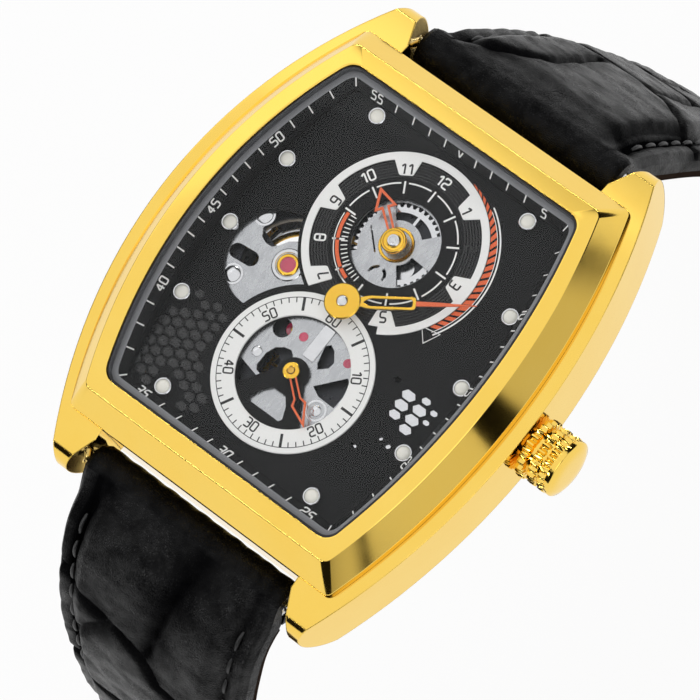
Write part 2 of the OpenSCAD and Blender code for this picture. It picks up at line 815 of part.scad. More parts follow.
module crown_tube() {
    color(gold) from_dial() difference() {
        along_x(cavity_half_w + 0.2, 0, crown_z)
            cylinder(r = tube_r - 0.02, h = tube_end_x - cavity_half_w - 0.2);
        along_x(0, 0, crown_z) cylinder(r = tube_bore_r, h = far);
    }
}

module rotor_bearing() {
    color(silver) from_dial() difference() {
        union() {
            translate([0, 0, rotor_web_z - 0.1]) cylinder(r = 2.4, h = bridge_bottom - rotor_web_z + 0.08);
            translate([0, 0, rotor_web_z - 0.3]) cylinder(r = 1.2, h = 0.3);
        }
        translate([-1.3, -0.12, rotor_web_z - 0.5]) cube([2.6, 0.24, 0.4]);
        translate([0, 0, bridge_bottom - 0.3]) cylinder(r = arbor_r + 0.3, h = 1);
    }
}

module spring_bar() {
    color(silver) {
        along_x(-lug_gap / 2 + 0.3) cylinder(r = bar_r, h = lug_gap - 0.6);
        along_x(-lug_gap / 2 - bar_tip_l) cylinder(r = bar_tip_r, h = lug_gap + 2 * bar_tip_l);
    }
}

module spring_bar_12() {
    from_dial(bar_z) translate([0, bar_y, 0]) spring_bar();
}

module spring_bar_6() {
    from_dial(bar_z) translate([0, -bar_y, 0]) spring_bar();
}

// Flat spiral strip as one polygon, out along one side and back along the other
module spiral(r1, r2, turns, t) {
    n = 30 * turns;
    function rim(i, d) = let (r = r1 + (r2 - r1) * i / n + d, a = 360 * turns * i / n) r * [cos(a), sin(a)];
    polygon(concat([for (i = [0 : n]) rim(i, t / 2)], [for (i = [n : -1 : 0]) rim(i, -t / 2)]));
}

hairspring_turns = 4;
hairspring_in = 0.7;
hairspring_out = 3.2;
hairspring_strip = 0.1;
echo(hairspring_gap = (hairspring_out - hairspring_in) / hairspring_turns - hairspring_strip);

module hairspring() {
    color("#4A5A78") from_dial(balance_z - 0.35) at(balance_axis) linear_extrude(0.2)
        spiral(hairspring_in, hairspring_out, hairspring_turns, hairspring_strip);
}

// Wheels
function gear_points(n, m, phase) =
    let (tip = m * (n / 2 + 0.75), root = m * (n / 2 - 1), pitch = 360 / n)
    [for (i = [0 : n - 1]) let (a = phase + i * pitch) each [
        root * [cos(a - 0.3 * pitch), sin(a - 0.3 * pitch)],
        tip * [cos(a - 0.1 * pitch), sin(a - 0.1 * pitch)],
        tip * [cos(a + 0.1 * pitch), sin(a + 0.1 * pitch)],
        root * [cos(a + 0.3 * pitch), sin(a + 0.3 * pitch)]]];

// Wheel with a thin rim, a hub and crossings
module wheel(n, m, phase, hub, rim, arms) {
    r_in = m * (n / 2 - 1) - rim;
    difference() {
        polygon(gear_points(n, m, phase));
        difference() {
            circle(r_in);
            circle(hub);
            for (i = [0 : arms - 1]) rotate(i * 360 / arms) translate([0, -0.14]) square([r_in + 0.1, 0.28]);
        }
    }
}

module pinion(n, m, phase, h) {
    linear_extrude(h) polygon(gear_points(n, m, phase));
}

module arbor(z1, z2, r = arbor_r) {
    translate([0, 0, z1]) cylinder(r = r, h = z2 - z1, $fn = 48);
}

hand_angle = 90 - 57.3;
hour_hand_angle = 90 + 52.2;
seconds_hand_angle = 90 - 129;

module minute_hand() {
    hub_r = 1.66;
    body_l = 6.3;
    color(gold) from_dial(minute_hand_z) {
        rotate(hand_angle) linear_extrude(hand_t) difference() {
            union() {
                circle(hub_r);
                polygon([[0, -1.05], [body_l - 0.6, -0.55], [body_l - 0.6, 0.55], [0, 1.05]]);
                translate([body_l - 0.6, 0]) circle(0.55);
                polygon([[body_l - 0.4, -0.22], [minute_hand_l, -0.06], [minute_hand_l, 0.06],
                    [body_l - 0.4, 0.22]]);
            }
            polygon([[1.9, -0.5], [body_l - 0.7, -0.28], [body_l - 0.7, 0.28], [1.9, 0.5]]);
            circle(0.5);
        }
    }
}

module cannon_pinion() {
    color(brass) from_dial() {
        difference() {
            union() {
                translate([0, 0, minute_wheel_z - 0.05]) pinion(cannon_n, motion_module, 0, wheel_t + 0.1);
                arbor(minute_wheel_z + wheel_t, minute_hand_z + hand_t + 0.1, 0.48);
            }
            translate([0, 0, minute_wheel_z - 1]) cylinder(r = arbor_r + 0.01, h = 1.5);
        }
    }
}

module centre_wheel() {
    color(brass) from_dial() {
        translate([0, 0, centre_wheel_z]) linear_extrude(wheel_t)
            wheel(centre_n, centre_module, 0, 1, 0.4, 5);
        translate([0, 0, barrel_teeth_z - 0.1]) pinion(centre_pinion_n, barrel_module, 0, 0.5);
        arbor(bridge_bottom + 0.05, minute_wheel_z + 0.4);
    }
}

module minute_wheel() {
    color(brass) from_dial() at(minute_wheel_axis) {
        translate([0, 0, minute_wheel_z]) linear_extrude(wheel_t)
            wheel(minute_wheel_n, motion_module, minute_wheel_phase, 1.3, 0.4, 4);
        translate([0, 0, hour_wheel_z - 0.05])
            pinion(cannon_n, motion_module, minute_wheel_phase, wheel_t + 0.1);
        arbor(plate_top - 0.4, hour_wheel_z + 0.3);
    }
}

module hour_wheel() {
    color(brass) from_dial() at(hour_axis) {
        translate([0, 0, hour_wheel_z]) linear_extrude(wheel_t)
            wheel(hour_wheel_n, motion_module, hour_wheel_phase, 1, 0.5, 4);
        arbor(plate_top + seam, hour_hand_z + hand_t + 0.1, 0.4);
    }
}

module hour_hand() {
    color("#E8622A") from_dial(hour_hand_z) at(hour_axis) rotate(hour_hand_angle) linear_extrude(hand_t)
        difference() {
            union() {
                circle(0.95);
                polygon([[0, -0.3], [3, -0.55], [3, -1.15], [hour_hand_l, 0], [3, 1.15], [3, 0.55],
                    [0, 0.3]]);
            }
            polygon([[1.2, -0.2], [3.2, -0.36], [3.2, -0.8], [hour_hand_l - 0.55, 0], [3.2, 0.8],
                [3.2, 0.36],
                [1.2, 0.2]]);
            circle(0.42);
        }
}

module third_wheel() {
    color(brass) from_dial() at(third_axis) {
        translate([0, 0, third_wheel_z]) linear_extrude(wheel_t)
            wheel(third_n, third_module, third_phase, 0.8, 0.35, 5);
        translate([0, 0, centre_wheel_z - 0.05])
            pinion(third_pinion_n, centre_module, third_phase, wheel_t + 0.1);
        arbor(bridge_bottom + 0.05, plate_top - 0.05);
    }
}

module fourth_wheel() {
    color(brass) from_dial() at(seconds_axis) {
        translate([0, 0, fourth_wheel_z]) linear_extrude(wheel_t)
            wheel(fourth_n, fourth_module, fourth_phase, 0.8, 0.35, 4);
        translate([0, 0, third_wheel_z - 0.05])
            pinion(fourth_pinion_n, third_module, fourth_phase, wheel_t + 0.1);
        arbor(bridge_bottom + 0.05, seconds_hand_z + hand_t + 0.1);
    }
}

module seconds_hand() {
    color("#E8622A") from_dial(seconds_hand_z) at(seconds_axis) rotate(seconds_hand_angle)
        linear_extrude(hand_t) difference() {
            union() {
                circle(0.75);
                polygon([[0, -0.2], [3.6, -0.5], [4.4, -0.62], [seconds_hand_l, 0], [4.4, 0.62],
                    [3.6, 0.5], [0, 0.2]]);
            }
            polygon([[1.2, -0.12], [3.7, -0.32], [4.3, -0.38], [seconds_hand_l - 0.5, 0], [4.3, 0.38],
                [3.7, 0.32],
                [1.2, 0.12]]);
            circle(arbor_r + 0.01);
        }
}

module escape_wheel() {
    step = 360 / escape_n;
    color(brass) from_dial() at(escape_axis) {
        translate([0, 0, escape_wheel_z]) linear_extrude(wheel_t) difference() {
            polygon([for (i = [0 : escape_n - 1]) let (a = i * step) each [
                1.25 * [cos(a), sin(a)],
                escape_r * [cos(a + 0.34 * step), sin(a + 0.34 * step)],
                escape_r * [cos(a + 0.42 * step), sin(a + 0.42 * step)],
                1.25 * [cos(a + 0.75 * step), sin(a + 0.75 * step)]]]);
            difference() {
                circle(1);
                circle(0.5);
                for (i = [0 : 3]) rotate(i * 90) translate([0, -0.1]) square([1.1, 0.2]);
            }
        }
        translate([0, 0, fourth_wheel_z - 0.05])
            pinion(escape_pinion_n, fourth_module, escape_phase, wheel_t + 0.1);
        arbor(bridge_bottom + 0.05, plate_top - 0.05, 0.22);
        arbor(bridge_bottom + 0.05, bridge_bottom + 0.45);
        arbor(plate_top - 0.4, plate_top - 0.05);
    }
}

module pallet_fork() {
    color(silver) from_dial() at(pallet_axis) rotate(lever_angle) {
        translate([0, 0, escape_wheel_z]) linear_extrude(wheel_t) {
            circle(0.45);
            polygon([[0, -0.22], [lever_l - 0.3, -0.14], [lever_l, -0.3], [lever_l, -0.1],
                [lever_l - 0.25, 0],
                [lever_l, 0.1], [lever_l, 0.3], [lever_l - 0.3, 0.14], [0, 0.22]]);
            for (s = [-1, 1])
                polygon([[0.1, s * 0.35], [-0.3, 0], [-0.82, s * 1.12], [-0.5, s * 1.35], [-0.1, s * 0.9]]);
        }
        arbor(pallet_bridge_z + 0.05, plate_top - 0.05, 0.15);
    }
}

module balance_wheel() {
    color(gold) from_dial(balance_z) at(balance_axis) linear_extrude(0.4) difference() {
        circle(balance_r, $fn = 180);
        difference() {
            circle(balance_r - 0.45, $fn = 180);
            circle(0.6);
            for (i = [0 : 2]) rotate(90 + i * 120) translate([0, -0.25]) square([balance_r, 0.5]);
        }
        circle(arbor_r + 0.005);
    }
}

module balance_staff() {
    color(silver) from_dial() at(balance_axis) {
        arbor(bridge_bottom + 0.05, plate_top - 0.05);
        translate([0, 0, escape_wheel_z - 0.35]) cylinder(r = 0.6, h = 0.2, $fn = 48);
        translate([-0.4, 0, escape_wheel_z - 0.2]) cylinder(r = 0.1, h = 0.35, $fn = 24);
    }
}

module barrel_drum() {
    drum_r = barrel_module * (barrel_n / 2 - 1.2);
    color(brass) from_dial() at(barrel_axis) {
        difference() {
            union() {
                translate([0, 0, barrel_bottom]) cylinder(r = drum_r, h = barrel_top - barrel_bottom);
                translate([0, 0, barrel_teeth_z]) pinion(barrel_n, barrel_module, barrel_phase, 0.3);
            }
            translate([0, 0, barrel_bottom + 0.25])
                cylinder(r = drum_r - 0.3, h = barrel_top - barrel_bottom - 0.5);
            translate([0, 0, barrel_bottom - 1]) cylinder(r = 1 + running, h = far / 4);
        }
    }
}

module mainspring() {
    color("#8A8F98") from_dial(barrel_bottom + 0.35) at(barrel_axis)
        linear_extrude(barrel_top - barrel_bottom - 0.7)
        spiral(1.35, 4.5, 5, 0.12);
}

module barrel_arbor() {
    color(silver) from_dial() at(barrel_axis) {
        arbor(ratchet_z, plate_top - 0.05, 1 - 0.01);
        translate([0, 0, ratchet_z]) linear_extrude(0.25) polygon(gear_points(ratchet_n, ratchet_module, 0));
    }
}

module rotor_weight() {
    rim_w = 3;
    color(silver) from_dial() {
        translate([0, 0, rotor_rim_bottom]) linear_extrude(rotor_rim_top - rotor_rim_bottom) intersection() {
            difference() {
                circle(rotor_r, $fn = 180);
                circle(rotor_r - rim_w, $fn = 180);
            }
            pie(180, 360);
        }
        translate([0, 0, rotor_web_z]) linear_extrude(0.3) difference() {
            union() {
                circle(4);
                intersection() {
                    circle(rotor_r - rim_w + 0.3);
                    pie(190, 350);
                }
            }
            circle(2.45);
            for (a = [215, 243, 271, 299, 325]) rotate(a) translate([8.2, 0]) circle(1.5);
        }
    }
}

// Knurled disc for the crown
module knurled(r, h) {
    n = 36;
    linear_extrude(h) polygon([for (i = [0 : n - 1]) let (a = i * 360 / n) each [
        r * [cos(a - 2.6), sin(a - 2.6)], r * [cos(a + 2.6), sin(a + 2.6)],
        (r - 0.28) * [cos(a + 5), sin(a + 5)]]]);
}

module crown() {
    flange_l = 0.9;
    groove_l = 0.35;
    row_l = (crown_l - flange_l - groove_l - 0.9) / 2;
    color(gold) from_dial(crown_z) difference() {
        along_x(crown_x) {
            knurled(crown_r + 0.1, flange_l);
            translate([0, 0, flange_l - 0.1]) cylinder(r = crown_r - 0.5, h = groove_l + 0.2);
            translate([0, 0, flange_l + groove_l]) knurled(crown_r, row_l - 0.1);
            translate([0, 0, flange_l + groove_l + row_l - 0.2]) cylinder(r = crown_r - 0.35, h = 0.4);
            translate([0, 0, flange_l + groove_l + row_l + 0.1]) knurled(crown_r, row_l - 0.1);
            translate([0, 0, crown_l - 0.95]) cylinder(r = crown_r - 0.1, h = 0.65);
            translate([0, 0, crown_l - 0.35]) cylinder(r = crown_r - 0.45, h = 0.35);
        }
        along_x(crown_x - 1) cylinder(r = crown_recess_r, h = 1 + 1.9);
        along_x(crown_x - 1) cylinder(r = stem_r + 0.01, h = 1 + 2.7);
    }
}

module crown_gasket() {
    color("#202024") from_dial(crown_z) difference() {
        along_x(crown_x + 0.3) cylinder(r = crown_recess_r - 0.04, h = 0.6);
        along_x(0) cylinder(r = tube_r + 0.03, h = far);
    }
}

module winding_stem() {
    stem_in_x = movement_r - 4.4;
    color(silver) from_dial(crown_z) {
        along_x(stem_in_x) cylinder(r = stem_r, h = crown_x + 2.5 - stem_in_x);
        along_x(stem_in_x + 1.2) pinion(12, 0.17, 0, 1.6);
    }
}

// Strap
function catmull(a, b, c, d, t) = 0.5 * (2 * b + (c - a) * t + (2 * a - 5 * b + 4 * c - d) * t * t
    + (3 * b - a - 3 * c + d) * t * t * t);
// Curve through a route, with k steps between two of its points and more over the last two spans
function smooth(route, k, k_end) =
    let (n = len(route))
    [for (i = [0 : n - 2]) let (m = i < n - 3 ? k : k_end) for (j = [0 : (i < n - 2 ? m - 1 : m)])
        catmull(i > 0 ? route[i - 1] : 2 * route[0] - route[1], route[i], route[i + 1],
            i < n - 2 ? route[i + 2] : 2 * route[n - 1] - route[n - 2], j / m)];
function travel(pts, i) = i == 0 ? 0 : travel(pts, i - 1) + norm(pts[i] - pts[i - 1]);
function tangent(pts, i) = let (n = len(pts), v = pts[min(i + 1, n - 1)] - pts[max(i - 1, 0)]) v / norm(v);

steps = 2;
line_12 = smooth(route_12, steps, steps);
line_6 = smooth(route_6, steps, 5);
length_12 = travel(line_12, len(line_12) - 1);
length_6 = travel(line_6, len(line_6) - 1);

function blend(a, b, t) = a + (b - a) * max(0, min(1, t));
// Width and thickness of the strap at a distance s from the lugs
function width_at(s) = blend(strap_w, strap_end_w, s / 70);
function thick_at(s) = s < 10 ? strap_t : blend(strap_t, strap_end_t, (s - 10) / 62);
// Width with a rounded point at the free end
function tip_width(s, total) = let (left = total - s) left > 12 ? width_at(s)
    : width_at(s) * sqrt(max(0.02, 1 - pow((12 - left) / 12.3, 2.2)));

// Padded upper: flat below, crowned above
function upper_section(w, t) =
    let (b = -t / 2 + lining_t + 0.02, h = t - lining_t - 0.02, c = w / 2, k = min(1, w / 20))
    [[-c, b], [c, b], [c, b + 0.3 * h], [c - 0.5 * k, b + 0.56 * h], [c - 2.2 * k, b + 0.78 * h],
        [c - 5 * k, b + 0.95 * h], [0, b + h], [-c + 5 * k, b + 0.95 * h], [-c + 2.2 * k, b + 0.78 * h],
        [-c + 0.5 * k, b + 0.56 * h], [-c, b + 0.3 * h]];
function lining_section(w, t) = [[-w / 2 + 0.4, -t / 2], [w / 2 - 0.4, -t / 2], [w / 2, -t / 2 + 0.3],
    [w / 2, -t / 2 + lining_t], [-w / 2, -t / 2 + lining_t], [-w / 2, -t / 2 + 0.3]];
function placed(section, p, d, side) = [for (q = side > 0 ? section : flipped(section))
    [q[0], p[0] - side * q[1] * d[1], p[1] + side * q[1] * d[0]]];

module strap_loft(sections) {
    n = len(sections[0]);
    m = len(sections);
    polyhedron([for (s = sections) each s], concat(
        [for (k = [0 : m - 2], i = [0 : n - 1]) let (j = (i + 1) % n)
            each [[k * n + i, k * n + j, (k + 1) * n + j], [k * n + i, (k + 1) * n + j, (k + 1) * n + i]]],
        [[for (i = [n - 1 : -1 : 0]) i], [for (i = [0 : n - 1]) (m - 1) * n + i]]));
}

module strap_body(line, side, first, last, tipped, upper) {
    total = travel(line, len(line) - 1);
    strap_loft([for (i = [first : last]) let (s = travel(line, i),
        w = tipped ? tip_width(s, total) : width_at(s), t = thick_at(s),
        section = upper ? upper_section(w, t) : lining_section(w, t))
        placed(section, line[i], tangent(line, i), side)]);
}

// Frame at a distance along a strap line: X across, Y along the strap, Z outwards
function index_at(line, s) = max([for (i = [0 : len(line) - 2]) travel(line, i) <= s ? i : 0]);
module on_strap(line, side, s) {
    i = index_at(line, s);
    d = (line[i + 1] - line[i]) / norm(line[i + 1] - line[i]);
    p = line[i] + d * (s - travel(line, i));
    translate([0, p[0], p[1]]) rotate([side > 0 ? atan2(d[1], d[0]) : atan2(d[1], d[0]) + 180, 0, 0])
        children();
}

module lug_roll(y) {
    along_x(-strap_w / 2, y, bar_z) cylinder(r = roll_r, h = strap_w);
}

module strap_12() {
    end = line_12[len(line_12) - 1];
    color(black_leather) from_dial() difference() {
        union() {
            strap_body(line_12, 1, 1, len(line_12) - 2, false, true);
            lug_roll(bar_y);
            along_x(-strap_end_w / 2, end[0], end[1]) cylinder(r = end_roll_r, h = strap_end_w);
        }
        along_x(-far / 2, bar_y, bar_z) cylinder(r = bar_r + running, h = far);
        along_x(-far / 2, end[0], end[1]) cylinder(r = buckle_bar_r + running, h = far);
        on_strap(line_12, 1, length_12) translate([-tongue_w / 2 - 0.5, -3.2, -3])
            cube([tongue_w + 1, 8, 6]);
    }
}

module strap_12_lining() {
    color("#2A2422") from_dial() difference() {
        strap_body(line_12, 1, 2, len(line_12) - 3, false, false);
        along_x(-far / 2, bar_y, bar_z) cylinder(r = roll_r + seam, h = far);
    }
}

hole_count = 7;
hole_pitch = 6;
hole_r = 1;

module strap_holes() {
    for (i = [0 : hole_count - 1]) on_strap(line_6, -1, length_6 - 22 - i * hole_pitch)
        translate([0, 0, -4]) cylinder(r = hole_r, h = 8, $fn = 32);
}

module strap_6() {
    color(black_leather) from_dial() difference() {
        union() {
            strap_body(line_6, -1, 1, len(line_6) - 1, true, true);
            lug_roll(-bar_y);
        }
        along_x(-far / 2, -bar_y, bar_z) cylinder(r = bar_r + running, h = far);
        strap_holes();
    }
}

module strap_6_lining() {
    color("#2A2422") from_dial() difference() {
        strap_body(line_6, -1, 2, len(line_6) - 1, true, false);
        along_x(-far / 2, -bar_y, bar_z) cylinder(r = roll_r + seam, h = far);
        strap_holes();
    }
}

module round_box(w, h, r) {
    square([w - 2 * r, h], center = true);
    square([w, h - 2 * r], center = true);
    for (s = [-1, 1], t = [-1, 1]) translate([s * (w / 2 - r), t * (h / 2 - r)]) circle(r, $fn = 32);
}

// Loop round the strap, with room for the free end above it
module keeper(s, gap) {
    w = width_at(s) + 2 * gap;
    t = thick_at(s - 8) + gap + keeper_room;
    color(black_leather) from_dial() on_strap(line_12, 1, s)
        translate([0, keeper_w / 2, (keeper_room - gap) / 2]) rotate([90, 0, 0])
        linear_extrude(keeper_w) difference() {
            round_box(w + 2 * keeper_wall, t + 2 * keeper_wall, 1);
            square([w, t], center = true);
        }
}

fixed_keeper_s = length_12 - 7;
free_keeper_s = fixed_keeper_s - keeper_w - 2;

module fixed_keeper() {
    keeper(fixed_keeper_s, 0.12);
}

module free_keeper() {
    keeper(free_keeper_s, slide_gap);
}

// Buckle, laid outwards on the ground; X across, -Y towards the frame's far end
module at_buckle() {
    end = line_12[len(line_12) - 1];
    from_dial() translate([0, end[0], end[1]]) rotate([buckle_fold, 0, 0]) children();
}

module buckle_frame() {
    inner_w = strap_end_w + 0.6;
    arm = 1.7;
    color(gold) at_buckle() difference() {
        union() {
            for (x = [inner_w / 2, -inner_w / 2 - arm]) {
                translate([x, -buckle_l, -buckle_t / 2]) cube([arm, buckle_l, buckle_t]);
                along_x(x) cylinder(r = buckle_t / 2 + 0.1, h = arm);
            }
            along_x(-inner_w / 2 - arm, -buckle_l, 0) cylinder(r = buckle_t / 2, h = inner_w + 2 * arm);
        }
        along_x(-far / 2) cylinder(r = buckle_bar_r - 0.24, h = far);
        translate([0, -buckle_l, -buckle_t / 2 - 0.6]) along_x(-tongue_w / 2 - 0.2)
            cylinder(r = 1, h = tongue_w + 0.4);
    }
}

module buckle_bar() {
    color(silver) at_buckle() {
        along_x(-strap_end_w / 2 - 0.15) cylinder(r = buckle_bar_r, h = strap_end_w + 0.3);
        along_x(-strap_end_w / 2 - 1.5) cylinder(r = buckle_bar_r - 0.25, h = strap_end_w + 3);
    }
}

module buckle_tongue() {
    tongue_l = buckle_l + 1.6;
    color(gold) at_buckle() difference() {
        union() {
            along_x(-tongue_w / 2) cylinder(r = buckle_bar_r + 0.75, h = tongue_w);
            translate([-tongue_w / 2, -tongue_l, -buckle_bar_r - 0.7]) cube([tongue_w, tongue_l, 1.1]);
        }
        along_x(-far / 2) cylinder(r = buckle_bar_r + running, h = far);
        translate([0, -buckle_l, 0]) along_x(-tongue_w) cylinder(r = buckle_t / 2 + 0.08, h = 2 * tongue_w);
    }
}

case_middle();
bezel();
crystal();
crystal_gasket();
dial_flange();
dial_plate();
hour_chapter_ring();
seconds_ring();
marker_cups();
marker_lume();
movement_ring();
main_plate();
hour_bridge();
seconds_bridge();
balance_bridge();
barrel_bridge();
train_bridge();
balance_cock();
pallet_bridge();
jewels();
bridge_screws();
case_back();
back_crystal();
back_crystal_gasket();
back_screws();
crown_tube();
rotor_bearing();
spring_bar_12();
spring_bar_6();
hairspring();
minute_hand();
cannon_pinion();
centre_wheel();
minute_wheel();
hour_wheel();
hour_hand();
third_wheel();
fourth_wheel();
seconds_hand();
escape_wheel();
pallet_fork();
balance_wheel();
balance_staff();
barrel_drum();
mainspring();
barrel_arbor();
rotor_weight();
crown_gasket();
crown();
winding_stem();
strap_12();
strap_12_lining();
fixed_keeper();
free_keeper();
buckle_frame();
buckle_bar();
buckle_tongue();
strap_6();
strap_6_lining();
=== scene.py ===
import bpy
import json
import math
from mathutils import Matrix, Vector

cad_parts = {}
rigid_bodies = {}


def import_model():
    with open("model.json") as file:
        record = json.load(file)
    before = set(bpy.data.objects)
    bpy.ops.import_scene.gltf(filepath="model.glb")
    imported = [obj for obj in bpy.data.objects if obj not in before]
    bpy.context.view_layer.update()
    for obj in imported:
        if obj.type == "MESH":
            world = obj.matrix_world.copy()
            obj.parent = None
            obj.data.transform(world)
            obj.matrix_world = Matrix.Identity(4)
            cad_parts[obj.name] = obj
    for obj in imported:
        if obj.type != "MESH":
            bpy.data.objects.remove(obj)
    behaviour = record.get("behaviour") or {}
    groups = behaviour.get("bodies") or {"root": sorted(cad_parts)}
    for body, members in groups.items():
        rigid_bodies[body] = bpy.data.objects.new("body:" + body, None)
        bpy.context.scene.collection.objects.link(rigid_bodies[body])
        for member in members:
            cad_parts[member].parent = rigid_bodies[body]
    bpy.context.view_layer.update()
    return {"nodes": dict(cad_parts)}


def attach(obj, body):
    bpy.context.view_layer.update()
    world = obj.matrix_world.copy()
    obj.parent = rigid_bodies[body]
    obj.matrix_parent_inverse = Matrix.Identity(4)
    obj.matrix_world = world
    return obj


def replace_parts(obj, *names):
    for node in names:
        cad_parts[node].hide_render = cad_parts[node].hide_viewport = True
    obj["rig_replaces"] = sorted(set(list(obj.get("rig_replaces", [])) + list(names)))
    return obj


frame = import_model()
nodes = frame["nodes"]
print("frame loaded:", len(nodes), "nodes")

mm = 0.001
dialHeight = 9.6  # the dial plane stands this far above the case back, in mm
archRadius = 107  # long curve of the case, seen from the crown side


def toLinear(hexColour):
    parts = [int(hexColour[i:i + 2], 16) / 255 for i in (1, 3, 5)]
    return [p / 12.92 if p <= 0.04045 else ((p + 0.055) / 1.055) ** 2.4 for p in parts] + [1]


def addNode(tree, kind, inputs={}, **settings):
    made = tree.nodes.new(kind)
    for name, value in settings.items():
        setattr(made, name, value)
    for name, value in inputs.items():
        if isinstance(value, bpy.types.NodeSocket):
            tree.links.new(value, made.inputs[name])
        else:
            made.inputs[name].default_value = value
    return made


def mixColour(tree, share, first, second):
    return addNode(tree, "ShaderNodeMix", {0: share, 6: first, 7: second}, data_type="RGBA").outputs[2]


def calculate(tree, operation, *values, clamp=False):
    return addNode(tree, "ShaderNodeMath", dict(enumerate(values)), operation=operation,
                   use_clamp=clamp).outputs[0]


def remap(tree, value, fromLow, fromHigh, toLow=0.0, toHigh=1.0, kind="LINEAR"):
    ends = {"Value": value, "From Min": fromLow, "From Max": fromHigh, "To Min": toLow, "To Max": toHigh}
    return addNode(tree, "ShaderNodeMapRange", ends, interpolation_type=kind).outputs[0]


def grain(tree, place, size, detail, distortion=0.0):
    # noise whose features are about `size` mm across
    return addNode(tree, "ShaderNodeTexNoise", {"Vector": place, "Scale": 1 / (size * mm), "Detail": detail,
                                                "Roughness": 0.6, "Distortion": distortion}).outputs["Fac"]


def bumpBy(tree, shader, height, strength):
    lift = addNode(tree, "ShaderNodeBump", {"Height": height, "Strength": strength, "Distance": 0.05 * mm})
    tree.links.new(lift.outputs[0], shader.inputs["Normal"])


def startMaterial(name, colour, **sockets):
    material = bpy.data.materials.new(name)
    material.use_nodes = True
    tree = material.node_tree
    shader = tree.nodes["Principled BSDF"]
    shader.inputs["Base Color"].default_value = toLinear(colour)
    for socket, value in sockets.items():
        shader.inputs[socket.replace("_", " ")].default_value = value
    place = addNode(tree, "ShaderNodeTexCoord").outputs["Object"]
    return material, tree, shader, place


def mottle(tree, shader, place, low, high, size, roughLow, roughHigh, bump=0.0, stretch=(1, 1, 1)):
    # colour and roughness drift with one noise whose grain is `size` mm; stretch makes it brushed
    spread = addNode(tree, "ShaderNodeMapping", {"Vector": place, "Scale": stretch}).outputs[0]
    noise = grain(tree, spread, size, 4.0)
    tree.links.new(mixColour(tree, noise, toLinear(low), toLinear(high)), shader.inputs["Base Color"])
    tree.links.new(remap(tree, noise, 0.3, 0.7, roughLow, roughHigh), shader.inputs["Roughness"])
    if bump:
        bumpBy(tree, shader, noise, bump)


def mottled(name, base, low, high, size, roughLow, roughHigh, bump=0.0, stretch=(1, 1, 1), **sockets):
    material, tree, shader, place = startMaterial(name, base, **sockets)
    mottle(tree, shader, place, low, high, size, roughLow, roughHigh, bump, stretch)
    return material


# Stainless steel with a gold PVD coat, polished: mirror-like, with faint wipe marks
goldPolished = mottled("gold_pvd_polished", "#F8D062", "#F5CA56", "#FBD870", 9, 0.07, 0.14, Metallic=1.0)

# The case in the same coat, its sharp edges eased by the polishing wheel
goldCase = mottled("gold_pvd_polished_case", "#F8D062", "#F5CA56", "#FBD870", 9, 0.07, 0.14, Metallic=1.0)
tree = goldCase.node_tree
eased = addNode(tree, "ShaderNodeBevel", {"Radius": 0.22 * mm}, samples=6)
tree.links.new(eased.outputs[0], tree.nodes["Principled BSDF"].inputs["Normal"])

# The same coat over a brushed face: long silky lines along the strap direction; its base colour is darker than the
# polished gold, painted shade on the brushed faces
goldPaintedShadeBrushed = mottled("gold_pvd_painted_shade_brushed", "#E8B843",
                      "#DCA934", "#F0C44E", 0.3, 0.2, 0.32, 0.3, (1, 0.02, 1), Metallic=1.0)
goldPaintedShadeBrushedAcross = mottled("gold_pvd_painted_shade_brushed_across", "#E8B843",
                            "#DCA934", "#F0C44E", 0.3, 0.2, 0.32, 0.3, (0.02, 1, 1), Metallic=1.0)

# Gold-plated small parts: hands, hubs and the balance rim
goldPlated = mottled("gold_plated_brass", "#F0BE42", "#ECB83A", "#F4C850", 0.8, 0.14, 0.24, 0.1, Metallic=1.0)

# Mineral glass: clear when seen from above, a mirror at a low angle
mineralGlass = mottled("mineral_glass", "#F8FCFF", "#F4FAFC", "#FFFFFF", 6, 0.015, 0.03, Metallic=1.0)
tree = mineralGlass.node_tree
gloss = addNode(tree, "ShaderNodeFresnel", {"IOR": 1.5}).outputs[0]
tree.links.new(calculate(tree, "MULTIPLY", gloss, 0.22), tree.nodes["Principled BSDF"].inputs["Alpha"])

# Anodised aluminium flange: even grey satin
greyFlange = mottled("anodised_aluminium_grey", "#88898C", "#828386", "#8E8F92", 0.15, 0.5, 0.62, 0.05)

# Lacquered brass dial: deep matt black with a fine sprayed grain
blackDial = mottled("dial_lacquer_matt_black", "#121213",
                    "#0E0E0F", "#161617", 0.06, 0.5, 0.62, 0.03, Specular_IOR_Level=0.14)

# The same lacquer polished on the raised scales and rings, so that they catch the light; its base is a little lighter
# than the dial's, painted highlight on them
glossDialPaintedHighlight = mottled("dial_lacquer_gloss_black_painted_highlight", "#161617",
                    "#121213", "#1B1B1C", 0.3, 0.24, 0.34, 0.05, Specular_IOR_Level=0.5)

# Pad-printed ink: flat, slightly raised, satin
whiteInk = mottled("print_ink_white", "#F2F2F0", "#EEEEEC", "#F6F6F4", 0.2, 0.45, 0.55)
blackInk = mottled("print_ink_black", "#141415", "#111112", "#1A1A1B", 0.2, 0.4, 0.5)
orangeInk = mottled("print_ink_orange", "#E8622A", "#E25A22", "#EC6C36", 0.2, 0.4, 0.5)

# Strontium aluminate lume in a clear binder: chalky, faintly glossy on top
lumePaste = mottled("lume_paste", "#F4F2E8", "#E9E7DC", "#F7F5EC", 0.08, 0.5, 0.65, 0.2)

# Rhodium-plated steel: bright silver of cups, pins and arbors
rhodium = mottled("rhodium_plated_steel", "#D6D7D9", "#CFD0D3", "#DEDFE1", 0.6, 0.1, 0.2, Metallic=1.0)

# Nickel silver plates and bridges: frosted light grey with straight graining
plateNickel = mottled("nickel_silver_grained", "#B4B6B9",
                      "#A2A4A8", "#CCCED0", 0.5, 0.2, 0.32, 0.16, (1, 0.4, 1), Metallic=0.9)

